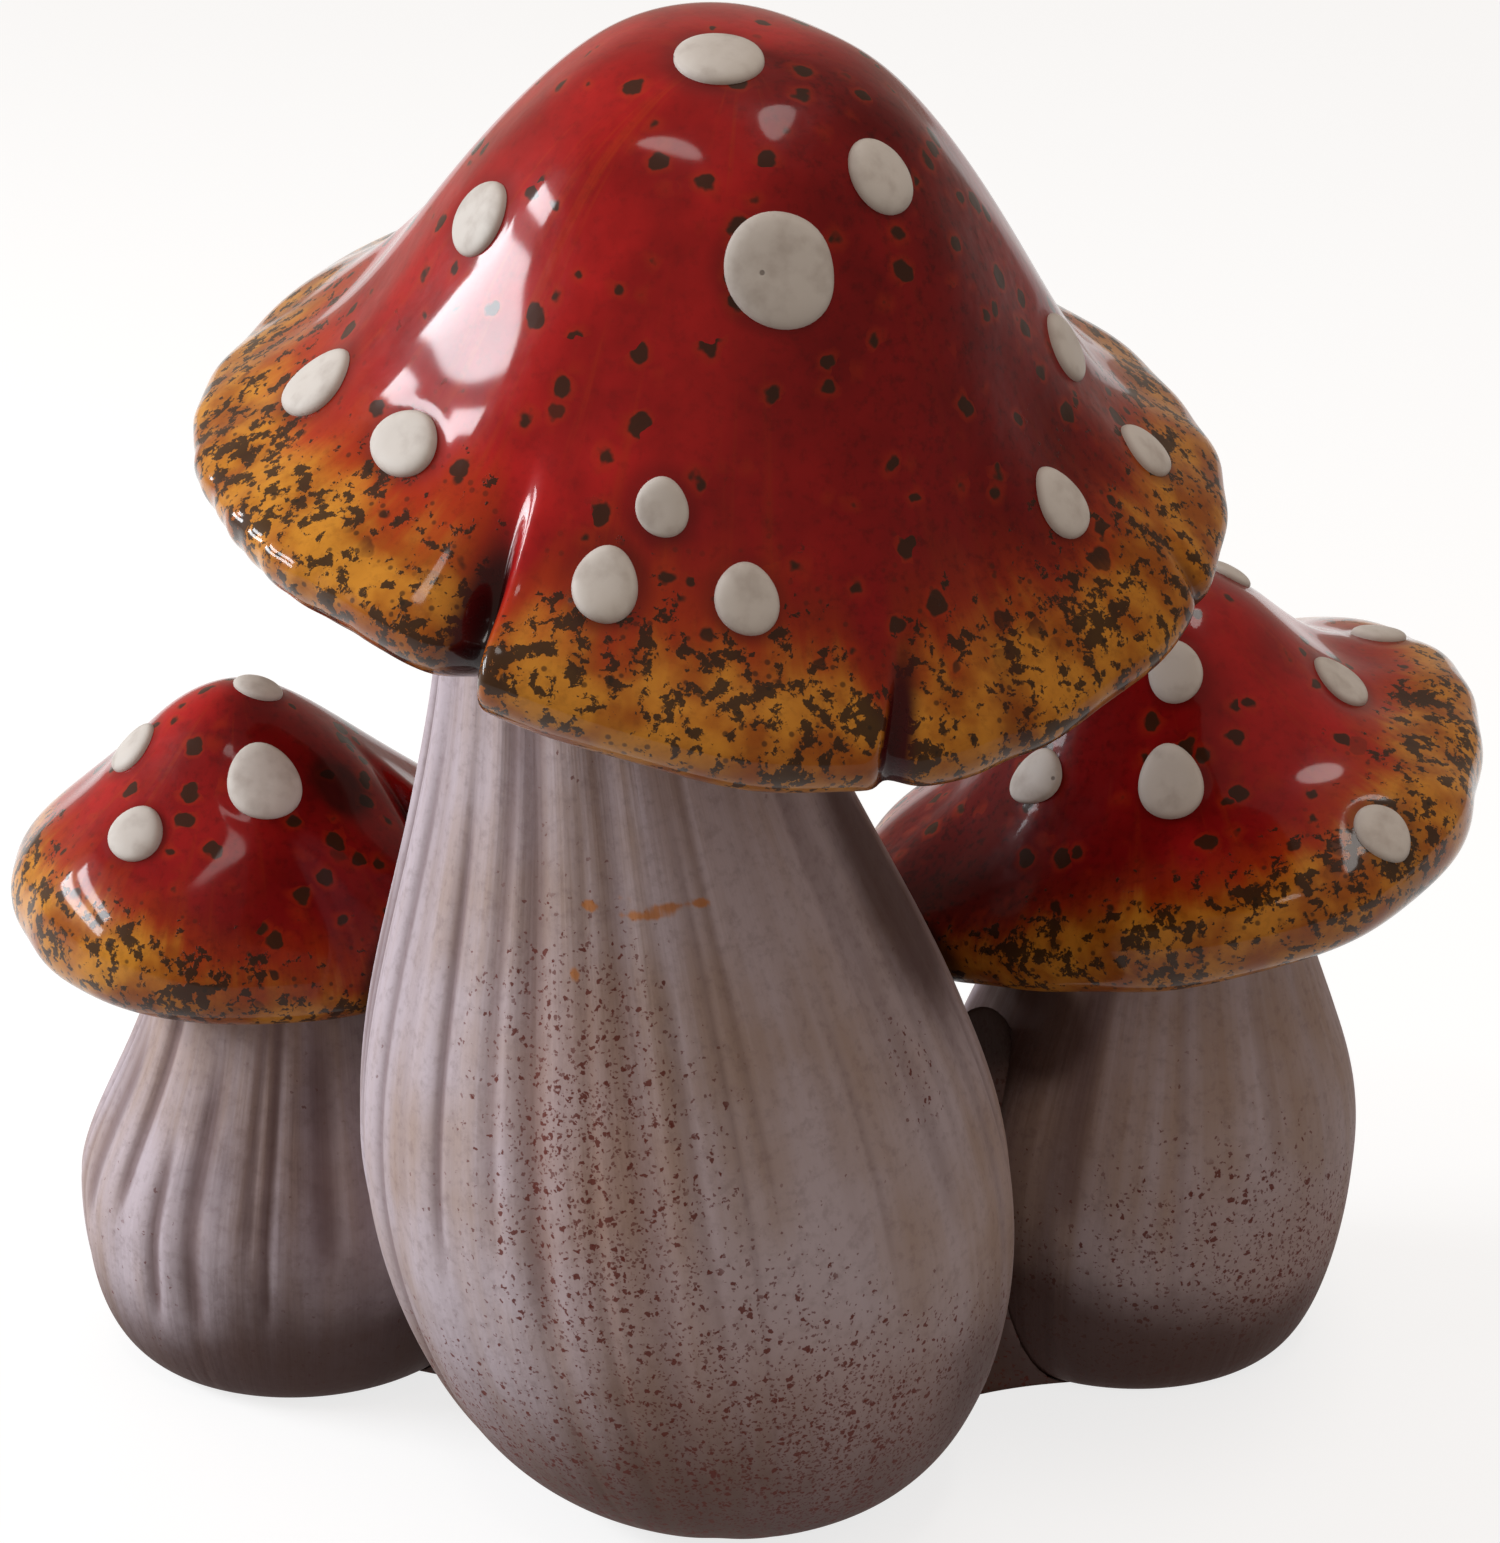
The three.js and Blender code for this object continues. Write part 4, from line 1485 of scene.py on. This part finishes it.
@dataclass
class Stage:
    """Floor, light and camera of a plain pale studio.

    Attributes:
        home: foot of the main stem.
        aim: where the camera looks, measured from that foot.
        elevation, distance: where the camera stands.
        picture_height, focal_pixels, sensor: what the lens is worked out from.
        floor_size, floor_tone, floor_glow: size, colour and whiteness of the floor.
        fill, fill_tint: even light of the room.
    """

    home: Array
    aim: tuple[float, float, float] = (2.2, 10.5, 85.5)
    elevation: float = 22.0
    distance: float = 524.0
    picture_height: int = 1543
    focal_pixels: float = 4494.4
    sensor: float = 36.0
    floor_size: float = 12000.0
    floor_tone: float = 0.35
    floor_glow: float = 0.77
    fill: float = 0.36
    fill_tint: tuple[float, float, float] = (1.0, 0.84, 0.71)

    def target(self) -> Vector:
        """Point that the camera and the lamps look at."""
        return Vector((self.home[0] + self.aim[0], self.home[1] + self.aim[1], self.aim[2]))

    def camera(self) -> None:
        """Stands the camera where the outline of the cluster fits the picture."""
        data = bpy.data.cameras.new("camera")
        data.sensor_width = self.sensor
        data.lens = self.sensor * self.focal_pixels / self.picture_height
        eye = stand("camera", data)
        rise = math.radians(self.elevation)
        back = Vector((0.0, -math.cos(rise), math.sin(rise)))
        eye.location = (self.target() + back * self.distance) * MM
        eye.rotation_euler = (-back).to_track_quat("-Z", "Y").to_euler()
        bpy.context.scene.camera = eye

    def lamp(self, name: str, outline: Lamp, toward: tuple[float, float, float], away: float,
             size: tuple[float, float], power: float, tint: tuple[float, float, float]) -> None:
        """Hangs a soft lamp that faces the cluster.

        Args:
            name: the lamp's name.
            outline: outline of its face.
            toward: direction of the lamp from the cluster.
            away: how far it hangs, in millimetres.
            size: width and height, in millimetres.
            power: watts.
            tint: colour of the light.
        """
        data = bpy.data.lights.new(name, "AREA")
        data.shape = outline.value
        data.size, data.size_y = size[0] * MM, size[1] * MM
        data.energy, data.color = power, tint
        lamp = stand(name, data)
        direction = Vector(toward).normalized()
        lamp.location = (self.target() + direction * away) * MM
        lamp.rotation_euler = direction.to_track_quat("Z", "Y").to_euler()

    def lights(self) -> None:
        """A window of two panes on the left, two round lights overhead and an even fill."""
        cool, warm = (0.9, 0.95, 1.0), (1.0, 0.97, 0.94)
        self.lamp("lower_pane", Lamp.PANE, (-0.946, 0.035, 0.323), 846.0, (490.0, 102.0), 3.6, cool)
        self.lamp("upper_pane", Lamp.PANE, (-0.872, -0.012, 0.489), 917.0, (366.0, 90.0), 2.4, cool)
        self.lamp("overhead", Lamp.ROUND, (0.3, 0.0, 0.95), 800.0, (330.0, 150.0), 0.9, warm)
        self.lamp("overhead_left", Lamp.ROUND, (-0.22, -0.37, 0.9), 800.0, (190.0, 80.0), 0.25, warm)
        world = bpy.data.worlds.new("studio")
        world.use_nodes = True
        room = world.node_tree.nodes["Background"]
        room.inputs["Color"].default_value = (*self.fill_tint, 1.0)
        room.inputs["Strength"].default_value = self.fill
        bpy.context.scene.world = world

    def floor(self) -> None:
        """Lays a pale floor that glows a little to the eye: it reads as white but keeps shadow."""
        half = self.floor_size / 2 * MM
        mesh = bpy.data.meshes.new("floor")
        corners = [(-half, -half, 0), (half, -half, 0), (half, half, 0), (-half, half, 0)]
        mesh.from_pydata(corners, [], [(0, 1, 2, 3)])
        floor = stand("floor", mesh)
        bench = Bench("floor")
        tone = (self.floor_tone, self.floor_tone, self.floor_tone, 1.0)
        matt = bench.node("ShaderNodeBsdfDiffuse", {}, {"Color": tone})
        seen = bench.node("ShaderNodeLightPath", {}, {}, "Is Camera Ray")
        rays = seen.socket.node.outputs
        for kind in ("Is Glossy Ray", "Is Transmission Ray"):
            seen = seen.larger(Wire(bench, rays[kind]))
        glow = bench.node("ShaderNodeEmission", {}, {"Strength": self.floor_glow * seen})
        bench.node_output(bench.node("ShaderNodeAddShader", {}, {0: matt, 1: glow}))
        mesh.materials.append(bench.material)

    def build(self) -> None:
        """Sets up the camera, the lights and the floor."""
        self.camera()
        self.lights()
        self.floor()
        settings = bpy.context.scene.view_settings
        settings.view_transform = "Standard"


@dataclass
class Cluster:
    """The three toadstools and their lutes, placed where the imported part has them.

    Attributes:
        left_bearing, left_press: where the left stem stands round the main stem, and how far the
            circles of the two bellies overlap in plan.
        right_bearing, right_press: the same of the right stem.
    """

    left_bearing: float = 148.1
    left_press: float = 1.6
    right_bearing: float = 35.9
    right_press: float = 2.8

    def __post_init__(self) -> None:
        """Names the castings and stands them in the frame."""
        self.stems = {"main": main_stem(), "left": left_stem(), "right": right_stem()}
        self.caps = {"main": main_cap(), "left": left_cap(), "right": right_cap()}
        main = self.stems["main"]
        main.base = self.home(main)
        for name, bearing, press in self.sides():
            away = main.belly + self.stems[name].belly - press
            self.stems[name].base = main.base + away * plan_axes(bearing)[0]

    def sides(self) -> tuple[tuple[str, float, float], ...]:
        """Name, bearing and press of each side stem."""
        return (
            ("left", self.left_bearing, self.left_press),
            ("right", self.right_bearing, self.right_press),
        )

    def home(self, stem: StemCasting) -> Array:
        """Where the main stem stands, from the box of its solid in the frame.

        Args:
            stem: the main stem, still at the origin.

        Returns:
            The middle of its foot in plan.
        """
        low, high = (np.array(corner[:2]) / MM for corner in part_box(f"{stem.name}_stem"))
        plain = stem.build(None).points[..., :2].reshape(-1, 2)
        return (low + high) / 2 - (plain.min(0) + plain.max(0)) / 2

    def show(
        self, surface: Surface, name: str, node: str, finish: bpy.types.Material
    ) -> None:
        """Makes a piece of a surface, gives it its finish and puts it in place of its solid.

        Args:
            surface: the piece's surface.
            name: the piece's name.
            node: the solid that it stands for.
            finish: the material.
        """
        piece = surface.piece(name)
        piece.data.materials.append(finish)
        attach(piece, BODY)
        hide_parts(node)
        LOG.info("%s stands for %s: %d points", name, node, len(piece.data.vertices))

    def build(self) -> None:
        """Builds and dresses every casting, drop and lute."""
        glaze, matt, slip = Glaze().material(), StemPaint().material(), Slip().material()
        main = self.stems["main"]
        for name, stem in self.stems.items():
            leans_on = None if stem is main else main
            cap = self.caps[name]
            self.show(stem.build(leans_on), f"{name}_stem_casting", f"{name}_stem", matt)
            self.show(cap.build(stem, leans_on), f"{name}_cap_casting", f"{name}_cap", glaze)
            for number, drop in enumerate(cap.drops, 1):
                surface = cap.build_drop(drop, stem)
                piece, node = (f"{name}_cap_{kind}_{number:02d}" for kind in ("drop", "dot"))
                self.show(surface, piece, node, slip)
        for lute in self.lutes():
            side = self.stems[lute.name]
            surface = lute.build(main, side)
            self.show(surface, f"{lute.name}_lute_clay", f"{lute.name}_lute", matt)

    def lutes(self) -> tuple[Lute, ...]:
        """The clay in the two joints."""
        belly = self.stems["main"].belly
        return (
            Lute("left", 3.5, 4, 24, 34, self.left_bearing, belly - self.left_press / 2),
            Lute("right", 11, 4.5, 30, 50, self.right_bearing, belly - self.right_press / 2),
        )


def main_stem() -> StemCasting:
    """The tall leaning stem in the middle."""
    return StemCasting(
        "main", foot=15, hole=8, belly=38.1, belly_height=40, shoulder=30, throat=45, neck=15.7,
        height=138, lean=(-17.5, -3.5), wall=4.5, flutes=19, flute_depth=0.7, lines=42,
        line_depth=0.9, line_fade=0.6, seed=4, rows=200, columns=440, foot_spatter=0.95,
        spatters=(
            Patch(-104, 20, 64, 20, 0.85), Patch(-96, 26, 38, 18, 0.5), Patch(-62, 24, 24, 14, 0.6),
            Patch(-34, 7, 62, 7, 0.4),
        ),
        # Dark paint with painted shade by the right cap, round the back right and low by the right
        # stem.
        smears_and_shades=(
            Patch(-14, 18, 80, 20, 1.15), Patch(20, 20, 60, 30, 0.5), Patch(-26, 22, 19, 14, 0.75),
        ),
        strokes=(
            Stroke(-84, 84.7, 11.0, 1.3, 7), Stroke(-98, 85.4, 9.0, 0.5, 12),
            Stroke(-73, 85.2, 3.0, 0.7, 0), Stroke(-104, 78.0, 1.6, 2.0, 0),
        ),
    )


def left_stem() -> StemCasting:
    """The short stem on the left."""
    return StemCasting(
        "left", foot=19, hole=9, belly=28.2, belly_height=21.7, shoulder=10, throat=23, neck=16.3,
        height=66, lean=(2, 0), wall=4, flutes=13, flute_depth=0.6, lines=28, line_depth=1.0,
        line_fade=0.2, seed=8, rows=140, columns=320, foot_spatter=0.12,
        # Painted shade over the front and low towards the main stem, and a darker foot.
        smears_and_shades=(Patch(-88, 50, 34, 34, 0.66), Patch(-40, 30, 8, 12, 0.4), Patch(-90, 80, 0, 12, 1.1)),
    )


def right_stem() -> StemCasting:
    """The stem on the right."""
    return StemCasting(
        "right", foot=19.7, hole=9, belly=27, belly_height=25.6, shoulder=19, throat=29, neck=14.8,
        height=79, lean=(4, 0), wall=4, flutes=13, flute_depth=0.45, lines=20, line_depth=0.4,
        line_fade=0.6, seed=15, rows=140, columns=320, foot_spatter=0.5,
        spatters=(Patch(-80, 22, 29, 8, 0.35), Patch(-45, 26, 17, 12, 0.55)),
        # Painted shade high on the left under the cap by the main stem, low on the left, and a darker
        # foot.
        smears_and_shades=(
            Patch(-130, 16, 47, 6, 1.0), Patch(-160, 26, 47, 14, 1.0), Patch(-145, 38, 12, 14, 0.7),
            Patch(-90, 80, 0, 15, 1.3),
        ),
    )


def main_cap() -> CapCasting:
    """The tall cap in the middle."""
    return CapCasting(
        rim=55.5, brim=10.5, hump=40.4, hump_radius=33.9, hump_power=3.3, shift=(-3.1, -0.2),
        tuck=9, drop=6, under=6, wall=4.5, spigot=2.9, forward=15, side=7.3, socket=(-16.9, 1.9),
        waves=((2, 1.4, 6), (3, 0.2, 42), (4, 0.3, 20)), rolls=((2, 1.4, 48), (3, 1.7, -10)),
        clefts=(
            Cleft(-116, -4.5, 0.64, 4.6, 3.2, 1.5, 2.0, 9, 1),
            Cleft(-67.5, 8, 0.72, 1.9, 2.0, 1.6, 0.2, 12, -1),
            Cleft(74, 4, 0.72, 2.0, 2.6, 1.4, 1.0, 13, 1),
            Cleft(-52.6, 14.3, 0.45, 0.6, 3.5, 3.5, 0.0, 9, 1),
            Cleft(-17.5, 2, 0.86, 0.9, 1.6, 1.6, 0.3, 7, 1),
        ),
        wrinkles=((-150, 20, 0.13),),
        flows=((-107, 13, 0.04), (-116, 3, 0.15), (-67.5, 3, 0.12)),
        # Painted shade on the right flank, away from the window, and a little at the front right.
        painted_shades=((-22, 46, 0.7), (-70, 18, 0.2)),
        drops=(
            Drop(-128, 3.8, 9.4), Drop(-157, 27.8, 8.2), Drop(-77, 23.6, 11.4, 0.96, 0.1, 132),
            Drop(-38.5, 19.1, 8, 1.04), Drop(-165, 43.4, 8.8), Drop(-141.5, 41.1, 8.2, 0.95),
            Drop(-97.5, 37.9, 5.7), Drop(-103.5, 44.2, 7.5, 1.08), Drop(-84, 42.7, 7),
            Drop(-27.5, 41.7, 7.4, 1.08), Drop(-2.5, 46, 7, 0.95), Drop(0, 36.4, 7.4),
            Drop(62, 27, 9), Drop(54, 47, 7.6), Drop(90, 44, 8), Drop(84, 32, 10),
            Drop(112, 42, 9), Drop(124, 47, 8), Drop(104, 26, 10), Drop(126, 34, 8),
        ),
        rows=130, columns=480,
    )


def left_cap() -> CapCasting:
    """The small cap on the left, with a fold where it meets the main stem."""
    return CapCasting(
        rim=30.3, brim=13.3, hump=14.5, hump_radius=17.6, hump_power=1.9, shift=(-2.6, 0),
        tuck=4.9, drop=5.6, under=4, wall=4.5, spigot=2.2, forward=3.8, side=1.9, socket=(5, 0.1),
        waves=(), rolls=(),
        clefts=(Cleft(-28, 32, 0.36, 2.6, 2.4, 1.4, 3.4, 9, 1),),
        flows=((-35, 40, 0.2), (-92, 34, 0.11)),
        # Painted shade over the front and right of the cap.
        painted_shades=((-60, 80, 0.55),),
        stains=((-36, 15, 4.0, 1.2),),
        drops=(
            Drop(4, 2.4, 5.7), Drop(-171.5, 13.6, 7), Drop(-73.5, 12.6, 9.2, 1.04),
            Drop(-128, 19.4, 7.2), Drop(76, 24.5, 6.2), Drop(97, 19, 7), Drop(118, 24, 6),
        ),
        rows=100, columns=320,
    )


def right_cap() -> CapCasting:
    """The tilted cap on the right."""
    return CapCasting(
        rim=38.7, brim=11.7, hump=19, hump_radius=19.1, hump_power=3.1, shift=(2.7, 0),
        tuck=5, drop=5.6, under=4.2, wall=4.5, spigot=4.6, forward=3.9, side=-17.1, socket=(1.5, 2.6),
        waves=((2, 1.9, 21), (3, 2.7, -60)), rolls=((2, 0.9, 20),),
        clefts=(Cleft(120, 5, 0.7, 1.4, 2.4, 1.6, 0.8, 10, 1),),
        # Painted shade lies on the cap's left side, which the main stem shades.
        flows=((-160, 48, 0.16), (-20, 24, -0.1)), painted_shades=((-160, 60, 0.85), (-80, 40, 0.1)),
        drops=(
            Drop(-82.5, 13.4, 7, 1.08), Drop(-14.5, 22.6, 8), Drop(28.5, 31, 7), Drop(23, 11.6, 6),
            Drop(-142.5, 20.8, 7.2, 0.95), Drop(-94, 21.5, 8.4, 1.06), Drop(-53, 35, 6.8, 1.08),
            Drop(66, 25, 7), Drop(98, 14, 8), Drop(146, 27, 7), Drop(176, 13, 6),
        ),
        rows=110, columns=360,
    )


def main() -> None:
    """Builds the cluster and the studio."""
    logging.basicConfig(level=logging.INFO, format="%(message)s")
    cluster = Cluster()
    cluster.build()
    Stage(cluster.stems["main"].base).build()
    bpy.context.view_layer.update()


if __name__ == "__main__":
    main()
